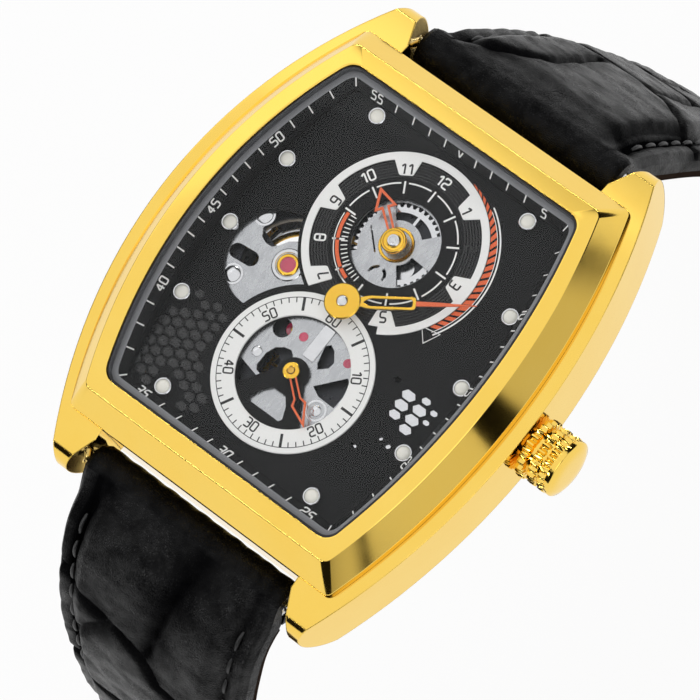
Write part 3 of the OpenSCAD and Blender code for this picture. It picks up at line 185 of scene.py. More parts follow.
# The same metal under black ruthenium: the depth behind the open bridges
plateRuthenium = mottled("nickel_silver_black_ruthenium", "#303134",
                         "#26272A", "#3C3D41", 0.4, 0.24, 0.38, 0.2, (1, 0.4, 1), Metallic=0.9)

# Blued steel spring and screws: dark blue heat tint on polished steel
bluedSteel = mottled("blued_steel", "#4A5A88", "#3C4A7A", "#5A6C9C", 0.5, 0.15, 0.25, Metallic=1.0)

# Synthetic ruby bearing: clear deep pink-red, highly polished
rubyStone = mottled("synthetic_ruby", "#C2184A",
                    "#A8123E", "#D62A5C", 0.5, 0.05, 0.1, IOR=1.76, Coat_Weight=0.5)

# Lacquered orange hands: smooth, glossy, opaque
orangeLacquer = mottled("lacquer_orange", "#E8622A", "#E35A22", "#EE6E36", 1.5, 0.3, 0.4, Coat_Weight=0.4)

# Brass wheels: cut metal with a light circular grain
wheelBrass = mottled("brass_wheel", "#D9AA4E", "#D09E40", "#E4B85E", 0.25, 0.22, 0.34, 0.2, Metallic=1.0)

# Nitrile rubber seals: dull black
sealRubber = mottled("nitrile_rubber", "#26262A", "#202024", "#2E2E32", 0.3, 0.6, 0.75, 0.1)

# Movement holder in moulded acetal: dark grey, low sheen
holderPlastic = mottled("acetal_holder_dark", "#2B2B2F", "#252529", "#333338", 0.4, 0.45, 0.6, 0.1)


def leather(name, low, high, roughLow, roughHigh, poreSize, waxLow, waxHigh):
    # Calf leather: pores and fine creases in two sizes, a low waxed gloss over them
    material, tree, shader, place = startMaterial(name, low)
    mottle(tree, shader, place, low, high, 3.5, roughLow, roughHigh)
    # the wax is polished up in patches on the raised skin and dull between them
    waxed = remap(tree, grain(tree, place, 1.8, 5.0, 0.4), 0.25, 0.8, waxLow, waxHigh, "SMOOTHSTEP")
    # the pressed grooves stay dull: the mesh carries how far each point stands out of them
    raised = addNode(tree, "ShaderNodeAttribute", attribute_name="raised").outputs["Fac"]
    tree.links.new(calculate(tree, "MULTIPLY", waxed, raised), shader.inputs["Specular IOR Level"])
    pores = addNode(tree, "ShaderNodeTexVoronoi", {"Vector": place, "Scale": 1 / (poreSize * mm)},
                    feature="DISTANCE_TO_EDGE").outputs["Distance"]
    creases = calculate(tree, "MULTIPLY", grain(tree, place, 2.2, 6.0, 0.5), 2.0)
    bumpBy(tree, shader, calculate(tree, "ADD", remap(tree, pores, 0.0, 0.25), creases), 0.6)
    return material


strapLeather = leather("calf_leather_embossed_black", "#040405", "#0A0A0B", 0.24, 0.34, 0.22, 0.06, 0.26)
liningLeather = leather("lining_leather_dark_brown", "#241C18", "#332923", 0.6, 0.75, 0.35, 0.2, 0.3)

# Waxed polyester thread: black, twisted, slightly shiny
thread = mottled("waxed_thread_black", "#0B0B0C", "#080809", "#151516", 0.12, 0.35, 0.5, 0.5)
print("materials made:", len(bpy.data.materials))


def lower(y):
    return math.sqrt(archRadius ** 2 - y * y) - archRadius


def quarter(w, h, r, c, sideSteps, cornerSteps):
    sx = w - r
    cx = sx + math.sqrt((r - c) ** 2 - (h - c) ** 2)
    sweep = math.atan2(h - c, cx - sx)
    side = [(sx + r * math.cos(sweep * i / sideSteps), r * math.sin(sweep * i / sideSteps))
            for i in range(sideSteps + 1)]
    turns = [sweep + (math.pi / 2 - sweep) * i / cornerSteps for i in range(1, cornerSteps + 1)]
    return side + [(cx + c * math.cos(a), h - c + c * math.sin(a)) for a in turns]


def barrelOutline(w, h, r, c, sideSteps=40, cornerSteps=10):
    q = quarter(w, h, r, c, sideSteps, cornerSteps)
    return (q + [(-x, y) for x, y in reversed(q)] + [(-x, -y) for x, y in q[1:]]
            + [(x, -y) for x, y in reversed(q[1:])])


def meshPiece(name, points, faces, material, body, smoothAngle=35):
    # points are in mm from the dial plane; the mesh is in metres in the row's frame
    mesh = bpy.data.meshes.new(name)
    mesh.from_pydata([(x * mm, y * mm, (z + dialHeight) * mm) for x, y, z in points], [], faces)
    mesh.validate()
    mesh.shade_smooth()
    mesh.set_sharp_from_angle(angle=math.radians(smoothAngle))
    for m in material if isinstance(material, list) else [material]:
        mesh.materials.append(m)
    piece = bpy.data.objects.new(name, mesh)
    bpy.context.scene.collection.objects.link(piece)
    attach(piece, body)
    return piece


def softenRows(rows, cut, steps=3):
    # rounds the edges between rows of (w, h, r, c, z): each inner row becomes a short curve
    done = [rows[0]]
    for a, p, b in zip(rows, rows[1:], rows[2:]):
        a, p, b = Vector(a), Vector(p), Vector(b)
        la, lb = math.hypot(a[0] - p[0], a[4] - p[4]), math.hypot(b[0] - p[0], b[4] - p[4])
        first, last = p + (a - p) * min(cut / la, 0.45), p + (b - p) * min(cut / lb, 0.45)
        for k in range(steps + 1):
            t = k / steps
            done.append(tuple(first * (1 - t) ** 2 + p * 2 * t * (1 - t) + last * t * t))
    return done + [rows[-1]]


def ringFaces(rowCount, n, closed=False, base=0):
    # quads between rows of n points; closed joins the last row to the first
    last = rowCount if closed else rowCount - 1
    quads = [(k * n + i, k * n + (i + 1) % n, (k + 1) % rowCount * n + (i + 1) % n, (k + 1) % rowCount * n + i)
             for k in range(last) for i in range(n)]
    return [tuple(v + base for v in quad) for quad in quads]


def archedRows(rows):
    points = []
    for w, h, r, c, z in rows:
        points += [(x, y, z + lower(y)) for x, y in barrelOutline(w, h, r, c)]
    return points, len(barrelOutline(*rows[0][:4]))


def addModifier(piece, kind, **settings):
    made = piece.modifiers.new(kind.lower(), kind)
    for name, value in settings.items():
        setattr(made, name, value)
    return made


# Bezel: brushed flat top between a thin inner edge and a wide polished bevel
bezel = {"windowW": 16.73, "windowH": 18.6, "windowR": 56.9, "windowCorner": 1.7, "height": 4,
         "flatW": 18.35, "flatH": 20.3, "footW": 20.2, "footH": 22.4, "shoulder": 0.7, "edge": 0.09}


def buildBezel():
    b = bezel
    inner = (b["windowW"], b["windowH"], b["windowR"], b["windowCorner"])
    rows = [inner + (b["shoulder"] + 0.05,), inner + (b["height"] - 0.1,),
            (b["windowW"] + 0.1, b["windowH"] + 0.1, b["windowR"], b["windowCorner"], b["height"]),
            (b["flatW"], b["flatH"], 57.5, 0.9, b["height"] - 0.1),
            (b["footW"], b["footH"], 59, 0.8, b["shoulder"] + 0.8),
            (b["footW"] + 0.02, b["footH"] + 0.02, 59, 0.8, b["shoulder"] + 0.05)]
    rows = softenRows(rows, b["edge"])
    points, n = archedRows(rows)
    faces = ringFaces(len(rows), n, True)
    piece = meshPiece("bezel_shell", points, faces, [goldPolished, goldPaintedShadeBrushed, goldPaintedShadeBrushedAcross],
                      "base", 50)
    # the flat top faces take the darker brushed gold, which carries painted shade
    for face in piece.data.polygons:
        if face.normal.z > 0.97:
            x, y = face.center.x / mm, face.center.y / mm
            inFlat = abs(x) > b["windowW"] - 4 or abs(y) > b["windowH"] - 2
            face.material_index = (2 if abs(y) > b["windowH"] + 0.05 else 1) if inFlat else 0
    addModifier(piece, "WEIGHTED_NORMAL", keep_sharp=True)
    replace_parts(piece, "bezel")


buildBezel()

# Flange: grey flat, then a black slope that carries the minute track, then a wall to the dial
flange = {"top": 2.9, "flatWidth": 0.85, "slopeWidth": 0.75, "slopeDrop": 0.95}


def insetRow(d, corner, z):
    return (bezel["windowW"] - d, bezel["windowH"] - d, bezel["windowR"], corner, z)


def buildFlange():
    f = flange
    rows = [insetRow(0.1, 1.6, 0.05), insetRow(0.1, 1.6, f["top"]), insetRow(f["flatWidth"], 1, f["top"]),
            insetRow(f["flatWidth"] + f["slopeWidth"], 0.6, f["top"] - f["slopeDrop"]),
            insetRow(f["flatWidth"] + f["slopeWidth"], 0.6, 0.05)]
    rows = softenRows(rows, 0.06)
    points, n = archedRows(rows)
    for k in (0, len(rows) - 1):  # the first and last rows lie flat on the dial
        for i in range(n):
            points[k * n + i] = (*points[k * n + i][:2], 0.04)
    piece = meshPiece("minute_flange", points, ringFaces(len(rows), n, True), [greyFlange, blackDial],
                      "base", 50)
    for face in piece.data.polygons:
        if abs(face.normal.z) < 0.9:
            face.material_index = 1
    addModifier(piece, "WEIGHTED_NORMAL", keep_sharp=True)
    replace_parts(piece, "dial_flange")


buildFlange()
print("bezel and flange made")


def flatPiece(name, contours, z, thick, edge, material, body, place=(0, 0), turn=0):
    # plate cut from 2D outlines in mm, with rounded edges; z is its lower face
    curve = bpy.data.curves.new(name, "CURVE")
    curve.dimensions = "2D"
    curve.fill_mode = "BOTH"
    curve.extrude = max(thick / 2 - edge, 0.001)
    curve.bevel_depth = edge
    curve.bevel_resolution = 2
    curve.offset = -edge
    for contour in contours:
        line = curve.splines.new("POLY")
        line.points.add(len(contour) - 1)
        for point, (x, y) in zip(line.points, contour):
            point.co = (x, y, 0, 1)
        line.use_cyclic_u = True
    maker = bpy.data.objects.new(name + "_curve", curve)
    bpy.context.scene.collection.objects.link(maker)
    made = bpy.data.meshes.new_from_object(maker.evaluated_get(bpy.context.evaluated_depsgraph_get()))
    bpy.data.objects.remove(maker)
    bpy.data.curves.remove(curve)
    spin = Matrix.Translation((place[0], place[1], z + thick / 2)) @ Matrix.Rotation(math.radians(turn), 4, "Z")
    points = [tuple(spin @ v.co) for v in made.vertices]
    faces = [tuple(p.vertices) for p in made.polygons]
    bpy.data.meshes.remove(made)
    return meshPiece(name, points, faces, material, body)


def circlePoints(r, n=96, centre=(0, 0), a0=0, a1=360):
    whole = abs(a1 - a0) >= 360
    count = n if whole else n + 1
    return [(centre[0] + r * math.cos(math.radians(a0 + (a1 - a0) * i / n)),
             centre[1] + r * math.sin(math.radians(a0 + (a1 - a0) * i / n))) for i in range(count)]


def turned(points, angle, shift=(0, 0)):
    c, s = math.cos(math.radians(angle)), math.sin(math.radians(angle))
    return [(x * c - y * s + shift[0], x * s + y * c + shift[1]) for x, y in points]


def shifted(polygons, place):
    return [[(x + place[0], y + place[1]) for x, y in polygon] for polygon in polygons]


def lathe(name, profile, place, material, body, steps=48):
    # profile is (radius, height) in mm, closed; several places give one mesh
    points, faces = [], []
    for centre in place if isinstance(place, list) else [place]:
        faces += ringFaces(len(profile), steps, True, len(points))
        for r, z in profile:
            points += [(x, y, z) for x, y in circlePoints(r, steps, centre)]
    return meshPiece(name, points, faces, material, body)


# Strokes of plain rounded-square numerals, in a box 0.56 wide and 1 high
strokes = {
    "0": [[(0, 0), (0.56, 0), (0.56, 1), (0, 1), (0, 0)]],
    "1": [[(0.06, 0.74), (0.36, 1), (0.36, 0)]],
    "2": [[(0, 0.8), (0, 1), (0.56, 1), (0.56, 0.52), (0, 0.48), (0, 0), (0.56, 0)]],
    "3": [[(0, 1), (0.56, 1), (0.56, 0), (0, 0)], [(0.12, 0.5), (0.56, 0.5)]],
    "4": [[(0.42, 0), (0.42, 1), (0, 0.3), (0.6, 0.3)]],
    "5": [[(0.54, 1), (0, 1), (0, 0.56), (0.56, 0.56), (0.56, 0), (0, 0)]],
    "6": [[(0.52, 1), (0, 1), (0, 0), (0.56, 0), (0.56, 0.56), (0, 0.56)]],
    "7": [[(0, 1), (0.56, 1), (0.22, 0)]],
    "8": [[(0, 0), (0.56, 0), (0.56, 1), (0, 1), (0, 0)], [(0, 0.52), (0.56, 0.52)]],
    "9": [[(0.04, 0), (0.56, 0), (0.56, 1), (0, 1), (0, 0.46), (0.56, 0.46)]],
    "V": [[(0, 1), (0.3, 0.1), (0.6, 1)]],
}


def rounded(points, radius):
    closed = points[0] == points[-1] and len(points) > 2
    ring = points[:-1] if closed else points
    out = []
    for i, p in enumerate(ring):
        if not closed and i in (0, len(ring) - 1):
            out.append(p)
            continue
        a, b = ring[i - 1], ring[(i + 1) % len(ring)]
        la, lb = math.dist(a, p), math.dist(b, p)
        cut = min(radius, 0.45 * la, 0.45 * lb)
        first = [p[k] + (a[k] - p[k]) * cut / la for k in (0, 1)]
        last = [p[k] + (b[k] - p[k]) * cut / lb for k in (0, 1)]
        for j in range(5):
            t = j / 4
            out.append(tuple(first[k] * (1 - t) ** 2 + p[k] * 2 * t * (1 - t) + last[k] * t * t for k in (0, 1)))
    return out + [out[0]] if closed else out


def softLoop(loop, radius):
    return rounded(loop + [loop[0]], radius)[:-1]


def mirrored(half):
    # closes an outline that is alike on both sides of the x axis
    return half + [(x, -y) for x, y in reversed(half) if y]


def ribbon(points, width):
    # quads along a line, as lists of four corners
    closed = math.dist(points[0], points[-1]) < 1e-6
    n = len(points) - 1 if closed else len(points)
    left, right = [], []
    for i in range(n):
        a = points[i - 1] if i > 0 else (points[n - 1] if closed else points[0])
        b = points[(i + 1) % n] if (closed or i < n - 1) else points[i]
        dx, dy = b[0] - a[0], b[1] - a[1]
        size = math.hypot(dx, dy) or 1
        nx, ny = -dy / size * width / 2, dx / size * width / 2
        left.append((points[i][0] + nx, points[i][1] + ny))
        right.append((points[i][0] - nx, points[i][1] - ny))
    pairs = range(n) if closed else range(n - 1)
    return [[right[i], right[(i + 1) % n], left[(i + 1) % n], left[i]] for i in pairs]


def numeral(text, height, weight, centre=(0, 0), angle=0):
    # polygons of a short number, its middle at centre, turned by angle
    pen = 0
    lines = []
    for mark in text:
        width = 0.42 if mark == "1" else 0.56
        for stroke in strokes[mark]:
            lines.append([(x + pen, y) for x, y in stroke])
        pen += width + 0.26
    total = pen - 0.26
    inner = height - weight
    polygons = []
    for line in lines:
        path = [((x - total / 2) * inner, (y - 0.5) * inner) for x, y in line]
        polygons += ribbon(rounded(path, 0.17 * height), weight)
    return [turned(p, angle, centre) for p in polygons]


def printPiece(name, polygons, z, material, body, ink=0.012):
    # thin ink: each polygon is a little prism standing on height z
    points, faces = [], []
    for polygon in polygons:
        base, n = len(points), len(polygon)
        points += [(x, y, z) for x, y in polygon] + [(x, y, z + ink) for x, y in polygon]
        faces.append(tuple(base + n + i for i in range(n)))
        faces += [(base + i, base + (i + 1) % n, base + n + (i + 1) % n, base + n + i) for i in range(n)]
    return meshPiece(name, points, faces, material, body, 20)


# Dials: hour ring above, seconds ring below
dial = {"hourY": 7.37, "hourR": 8.88, "ringWidth": 0.75, "tabDepth": 1.55,
        "secondsY": -7.85, "secondsR": 7.78, "secondsIn": 5.48, "markerR": 0.85,
        "markers": [(9.07, 15.98), (13.48, 7.89), (14.04, 0), (13.48, -7.89), (9.07, -15.98)]}
inkOnDial = 0.02  # thickness of the prints on the black dial
hourRingTop, secondsRingTop = 0.16, 0.22
hourAt = (0, dial["hourY"])
secondsAt = (0, dial["secondsY"])


def clockAngle(hour):
    return 90 - 30 * hour


def buildHourRing():
    d = dial
    outer, inner = d["hourR"], d["hourR"] - d["ringWidth"]
    start, end = -90 + 27.5, 270 - 27.5  # the ring stops at the seconds ring
    halfFoot = 9.2  # degrees that a tab takes up on the ring to each side of its number
    tip = inner - d["tabDepth"]
    tab = [(tip + 0.12, 0.72), (tip, 0.6), (tip, -0.6), (tip + 0.12, -0.72)]
    back, a = [], end
    for angle in sorted(((clockAngle(h) - start) % 360 + start for h in (1, 3, 5, 7, 9, 11)), reverse=True):
        if angle + halfFoot < a:
            back += circlePoints(inner, max(2, int((a - angle - halfFoot) / 2)), (0, 0), a, angle + halfFoot)
        back += turned(tab, angle)
        a = angle - halfFoot
    back += circlePoints(inner, 12, (0, 0), a, start)
    loop = circlePoints(outer, 200, (0, 0), start, end)
    piece = flatPiece("hour_ring", [loop + back], 0.02, 0.14, 0.03, whiteInk, "base", hourAt)
    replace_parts(piece, "hour_chapter_ring")


buildHourRing()


def buildHourPrints():
    white, black, orange = [], [], []
    for h in (1, 2, 3, 4, 5, 7, 8, 9, 10, 11, 12):  # the seconds ring takes the place of the 6
        angle = clockAngle(h)
        marks = numeral(str(h), 1.18, 0.17, turned([(7.2, 0)], angle)[0], angle - 90)
        if h in (8, 10, 12):
            white += marks
        else:
            black += marks
    for h in range(12):
        white += [turned([(4.85, -0.09), (6.05, -0.09), (6.05, 0.09), (4.85, 0.09)], 30 * h)]
        if not 180 <= 30 * h < 240:
            white += ribbon(circlePoints(5.87, 14, (0, 0), 30 * h + 3.6, 30 * h + 26.4), 0.15)
    # orange arc from 9 round to 7, with a thin white line outside and fine ticks inside
    orange += ribbon(circlePoints(5.52, 40, (0, 0), 182, 252), 0.34)
    white += ribbon(circlePoints(5.85, 40, (0, 0), 184, 250), 0.09)
    for k in range(17):
        white += [turned([(4.55, -0.05), (5.17, -0.05), (5.17, 0.05), (4.55, 0.05)], 183 + k * 4.8)]
    printPiece("hour_numerals_black", shifted(black, hourAt), hourRingTop, blackInk, "base")
    printPiece("hour_prints_white", shifted(white, hourAt), 0.0, whiteInk, "base", inkOnDial)
    printPiece("hour_arc_orange", shifted(orange, hourAt), 0.0, orangeInk, "base", inkOnDial)


buildHourPrints()


def buildCrescent():
    # hatched crescent on the right of the hour ring, between the ring and a double white line
    orange, white = [], []
    out, outAt = 9.02, (0.95, 7.5)
    ringR = dial["hourR"] + 0.05

    def rim(a, r=out):
        return (outAt[0] + r * math.cos(math.radians(a)), outAt[1] + r * math.sin(math.radians(a)))

    def inward(a):  # the ring's own edge, met along the same ray
        x, y = rim(a)
        d = math.hypot(x - hourAt[0], y - hourAt[1])
        return (hourAt[0] + (x - hourAt[0]) * ringR / d, hourAt[1] + (y - hourAt[1]) * ringR / d)

    # slanted orange bars with thin black gaps, ever shorter towards the upper point
    lean, span = 3.4, 3.3  # degrees that a bar leans over, and degrees that it is wide
    for k in range(22):
        a = -30 + k * 5.1
        bar = [inward(a - lean), rim(a, out - 0.32), rim(a + span, out - 0.32), inward(a + span - lean)]
        if math.dist(bar[0], bar[1]) < math.dist(inward(a), rim(a, out - 0.32)) + 1.5:
            orange.append(bar)
    white += ribbon([rim(a) for a in range(-34, 62, 2)], 0.15)
    white += ribbon([rim(a, out - 0.28) for a in range(-34, 60, 2)], 0.06)
    # white-outlined pointer at the lower end
    white += ribbon([(7.1, 2.55), (9.0, 2.9), (8.2, 1.35), (7.1, 2.55)], 0.14)
    printPiece("crescent_orange", orange, 0.0, orangeInk, "base", inkOnDial)
    printPiece("crescent_white", white, 0.0, whiteInk, "base", 0.03)


buildCrescent()


def buildSecondsRing():
    inside, outside, z0, top = dial["secondsIn"], dial["secondsR"], 0.02, secondsRingTop
    profile = [(inside, z0), (inside, top - 0.05), (inside + 0.05, top), (outside - 0.05, top),
               (outside, top - 0.05), (outside, z0)]
    piece = lathe("seconds_dial_ring", profile, secondsAt, whiteInk, "base", 160)
    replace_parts(piece, "seconds_ring")
    track = 7.22  # radius of the thin line that the ticks hang from
    black = ribbon(circlePoints(track, 160) + [(track, 0)], 0.07)
    for s in range(60):
        half, length = (0.13, 1.3) if s % 10 == 5 else (0.05, 0.5)
        tick = [(track - length, -half), (track, -half), (track, half), (track - length, half)]
        black.append(turned(tick, 90 - 6 * s))
    for s in (10, 20, 30, 40, 50, 60):
        a = 90 - 6 * s
        flip = 180 if s in (20, 30, 40) else 0
        black += numeral(str(s), 1.06, 0.15, turned([(6.1, 0)], a)[0], a - 90 + flip)
    printPiece("seconds_prints", shifted(black, secondsAt), top, blackInk, "base")


buildSecondsRing()


def buildMarkers():
    d = dial
    places = [(s * x, y) for s in (-1, 1) for x, y in d["markers"]]
    r = d["markerR"]
    cups = lathe("marker_rims", [(r - 0.2, 0.05), (r - 0.2, 0.5), (r - 0.15, 0.6), (r - 0.06, 0.62), (r, 0.56),
                                 (r, 0.03), (r - 0.1, 0.03)], places, rhodium, "base", 40)
    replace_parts(cups, "marker_cups")
    dots = lathe("marker_dots", [(0.01, 0.05), (r - 0.21, 0.05), (r - 0.21, 0.5), (r - 0.3, 0.6), (r - 0.45, 0.655),
                                 (0.2, 0.68), (0.01, 0.685)], places, lumePaste, "base", 40)
    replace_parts(dots, "marker_lume")


buildMarkers()


def outlineHit(angle, d, corner):
    # where a ray from the middle meets the flange's inset outline
    ray = (math.cos(math.radians(angle)), math.sin(math.radians(angle)))
    ring = barrelOutline(bezel["windowW"] - d, bezel["windowH"] - d, bezel["windowR"], corner)
    for i, p in enumerate(ring):
        q = ring[(i + 1) % len(ring)]
        cp, cq = ray[0] * p[1] - ray[1] * p[0], ray[0] * q[1] - ray[1] * q[0]
        if cp <= 0 < cq or cq <= 0 < cp:
            t = cp / (cp - cq)
            x, y = p[0] + (q[0] - p[0]) * t, p[1] + (q[1] - p[1]) * t
            if x * ray[0] + y * ray[1] > 0:
                size = math.dist(p, q)
                return Vector((x, y)), Vector(((q[0] - p[0]) / size, (q[1] - p[1]) / size))
    raise ValueError("no outline at %s degrees" % angle)


def cutAbove(polygon, top):
    # keeps the part of a polygon below a level
    kept = []
    for i, p in enumerate(polygon):
        q = polygon[(i + 1) % len(polygon)]
        if p[1] <= top:
            kept.append(p)
        if (p[1] <= top) != (q[1] <= top):
            t = (top - p[1]) / (q[1] - p[1])
            kept.append((p[0] + (q[0] - p[0]) * t, top))
    return kept


def buildMinuteTrack():
    f = flange
    d0, d1 = f["flatWidth"], f["flatWidth"] + f["slopeWidth"]
    points, faces = [], []

    def onSlope(angle, polygons):
        # lays polygons (x along the rim, y outwards) on the slope where the ray meets it
        top, along = outlineHit(angle, d0, 1)
        low, _ = outlineHit(angle, d1, 0.6)
        high3 = Vector((top.x, top.y, f["top"] + lower(top.y)))
        low3 = Vector((low.x, low.y, f["top"] - f["slopeDrop"] + lower(low.y)))
        up = high3 - low3
        rise = -along.y * top.y / math.sqrt(archRadius ** 2 - top.y ** 2)
        along3 = Vector((along.x, along.y, rise)).normalized()
        if along3.x * top.y - along3.y * top.x < 0:
            along3 = -along3
        up -= along3 * up.dot(along3)
        up.normalize()
        normal = along3.cross(up)
        if normal.z < 0:
            normal = -normal
        middle = low3 + (high3 - low3) * 0.5 + normal * 0.03
        for polygon in polygons:
            base = len(points)
            points.extend(tuple(middle + along3 * x + up * y) for x, y in polygon)
            faces.append(tuple(range(base, base + len(polygon))))

    edge = math.hypot(f["slopeWidth"], f["slopeDrop"]) / 2
    for m in range(60):
        angle = 90 - 6 * m
        if m == 0:
            onSlope(angle, numeral("V", 0.95, 0.15))
        elif m % 5:
            onSlope(angle, [[(-0.07, edge - 0.9), (0.07, edge - 0.9), (0.07, edge), (-0.07, edge)]])
        else:
            marks = numeral(str(m), 1.08, 0.16, (0, 0), 180 if m in (25, 30, 35) else 0)
            if 10 <= m <= 35:
                # below and on the crown side the flat hides the outer part of the numbers
                marks = [cutAbove([(x, y * 1.5 + 0.28) for x, y in p], edge) for p in marks]
            onSlope(angle, [p for p in marks if len(p) > 2])
    meshPiece("minute_track", points, faces, whiteInk, "base")


buildMinuteTrack()
print("dial prints made")


def buildDialRelief():
    # scales pressed into the black dial at the lower left, and fine rings elsewhere
    points, faces = [], []
    length, width, row = 1.42, 0.98, 1.1
    hexagon = mirrored([(0.5, 0), (0.27, 0.5), (-0.27, 0.5), (-0.5, 0)])
    for i in range(-2, 8):
        for j in range(-1, 9):
            x = -13.2 + i * length * 0.78
            y = -16.4 + j * row + (i % 2) * row / 2
            inside = math.hypot(x, y - secondsAt[1]) > dial["secondsR"] + 0.9
            if not (inside and -13.9 < x < -4.4 and -16.6 < y < -6.0):
                continue
            if math.hypot(x + 9.07, y + 15.98) < 1.5 or math.hypot(x + 13.48, y + 7.89) < 1.6:
                continue  # two markers stand here
            size = 0.92 if y < -9 else 0.8
            base = len(points)
            for scale, z in ((1.0, 0.0), (0.84, 0.08), (0.5, 0.12)):
                points += [(x + u * length * scale * size, y + v * width * scale * size, z) for u, v in hexagon]
            faces += ringFaces(3, 6, False, base)
            faces.append(tuple(base + 12 + m for m in range(6)))
    meshPiece("dial_scales", points, faces, glossDialPaintedHighlight, "base", 20)
    # a bright plate lies under the open scales near the crown
    edge = [(8.4, -9.8), (8.9, -3.2), (10, -1.6), (13, -1.4), (14.6, -3), (14.4, -9), (12, -11)]
    flatPiece("scale_backing", [edge], -0.5, 0.06, 0.01, rhodium, "base")
    # over it sit thin polished scales, one in each opening of the black dial
    scales = [(10.25, -3.3, 1), (10.25, -4.4, 1), (10.3, -5.45, 0.85), (11.95, -2.8, 0.7), (11.95, -3.85, 1),
              (11.95, -4.95, 1), (12, -6, 0.9), (13.25, -3.3, 0.6), (13.2, -4.4, 0.55)]
    outlines = [[(x + u * 1.56 * size, y + v * 0.93 * size) for u, v in hexagon] for x, y, size in scales]
    flatPiece("scale_plates", outlines, -0.12, 0.08, 0.03, rhodium, "base")
    # turned grooves round the hour centre
    points, faces, n = [], [], 120
    for r in (6.5, 6.78, 7.06, 7.34, 7.62, 7.9):
        faces += ringFaces(3, n, False, len(points))
        for rr, z in ((r - 0.06, 0.0), (r, 0.016), (r + 0.06, 0.0)):
            points += [(x, y, z) for x, y in circlePoints(rr, n, hourAt)]
    meshPiece("dial_turned_rings", points, faces, glossDialPaintedHighlight, "base", 20)


buildDialRelief()


def liftedBy(z, profile):
    return [(r, z + h) for r, h in profile]


def buildBridgeFittings():
    # domed screws, ringed pins and the gold setting of the balance jewel, on top of the dial-side bridges
    z, balanceAt, large = -0.42, (-7.2, 0), [(-12.1, 2.5), (-11, -3.7)]
    fittings = {
        "bridge_dome_screws": (large, rhodium, 40,
                               [(0.01, 0.2), (0.3, 0.19), (0.6, 0.13), (0.78, 0.03), (0.8, -0.02)]),
        "bridge_small_screws": ([(-4.3, -8.15), (3.9, -9.4), (4.2, 4.1)], rhodium, 32,
                                [(0.01, 0.12), (0.34, 0.11), (0.5, 0.03), (0.52, -0.02)]),
        "bridge_screw_rims": (large + [(3.9, -9.4)], rhodium, 48,
                              [(0.84, 0.005), (0.95, 0.03), (1.04, 0.005), (1.05, -0.02)]),
        "balance_jewel_setting": (balanceAt, goldPlated, 56,
                                  [(0.76, -0.02), (0.78, 0.06), (0.98, 0.09), (1.08, 0.02), (1.1, -0.02)]),
        "balance_jewel_collar": (balanceAt, rhodium, 56, [(1.2, -0.02), (1.24, 0.05), (1.5, 0.06), (1.6, -0.02)]),
        "hour_hub_collar": (hourAt, goldPlated, 64, [(1.42, -0.02), (1.46, 0.08), (1.66, 0.1), (1.74, -0.02)]),
    }
    for name, (place, material, steps, profile) in fittings.items():
        lathe(name, liftedBy(z, profile), place, material, "base", steps)
    bar = [(-0.55, -2.45), (0.72, -2.45), (0.72, -6.0), (-0.55, -6.0)]
    flatPiece("seconds_bridge_rib", [softLoop(bar, 0.12)], z - 0.01, 0.1, 0.04, rhodium, "base")


buildBridgeFittings()

# Hands: angles are from 3 o'clock, counter-clockwise; profiles give radius and height over the hand's lower face
minuteHand = {"turn": 32.7, "z": 1.25}
arrowHands = {
    "hour": {"at": hourAt, "turn": 142.2, "z": 0.55, "thick": 0.2, "edge": 0.05,
             "arrow": [(0.7, -0.34), (3.3, -0.4), (3.3, -1.12), (5.45, -0.05)],
             "hole": [(0.95, -0.13), (3.55, -0.18), (3.55, -0.72), (4.95, 0)],
             "hub": [(0.6, -0.02), (1.14, -0.02), (1.22, 0.06), (1.22, 0.3), (1.14, 0.38), (1.02, 0.38),
                     (0.94, 0.28), (0.72, 0.26), (0.6, 0.2)], "hubSteps": 64,
             "pin": [(0.01, 0), (0.62, 0), (0.62, 0.34), (0.54, 0.42), (0.4, 0.42), (0.36, 0.37), (0.26, 0.37),
                     (0.22, 0.41), (0.01, 0.41)], "pinMaterial": rhodium},
    "seconds": {"at": secondsAt, "turn": -39, "z": 0.5, "thick": 0.18, "edge": 0.045,
                "arrow": [(0.5, -0.34), (2.75, -0.36), (3.3, -0.74), (5.6, -0.04)],
                "hole": [(0.7, -0.17), (2.8, -0.18), (3.35, -0.5), (5.0, 0)],
                "hub": [(0.34, 0), (0.72, 0), (0.8, 0.08), (0.8, 0.26), (0.68, 0.34), (0.42, 0.34),
                        (0.34, 0.28)], "hubSteps": 56,
                "pin": [(0.01, 0), (0.34, 0), (0.34, 0.3), (0.01, 0.32)], "pinMaterial": sealRubber},
}


def buildMinuteHand():
    turn, z = minuteHand["turn"], minuteHand["z"]
    arm = mirrored([(0.6, 0.42), (1.7, 0.44), (2.4, 0.64), (6.95, 0.64)])
    slit = mirrored([(2.05, 0.08), (2.6, 0.36), (6.6, 0.36)])
    needle = mirrored([(6.85, 0.24), (9, 0.2), (12.6, 0.04)])
    hub = [(0.5, 0), (1.62, 0), (1.74, 0.1), (1.74, 0.22), (1.64, 0.3), (0.7, 0.34), (0.56, 0.34), (0.5, 0.26)]
    pin = [(0.01, 0), (0.5, 0), (0.5, 0.36), (0.4, 0.44), (0.2, 0.47), (0.01, 0.48)]
    piece = flatPiece("minute_hand_body", [softLoop(arm, 0.45), softLoop(slit, 0.25)], z, 0.2, 0.06, goldPlated,
                      "minute", (0, 0), turn)
    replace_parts(piece, "minute_hand")
    flatPiece("minute_hand_needle", [needle], z + 0.02, 0.16, 0.04, orangeLacquer, "minute",
              (0, 0), turn)
    lathe("minute_hand_hub", liftedBy(z, hub), (0, 0), goldPlated, "minute", 72)
    lathe("minute_hand_pin", liftedBy(z, pin), (0, 0), rhodium, "minute", 48)


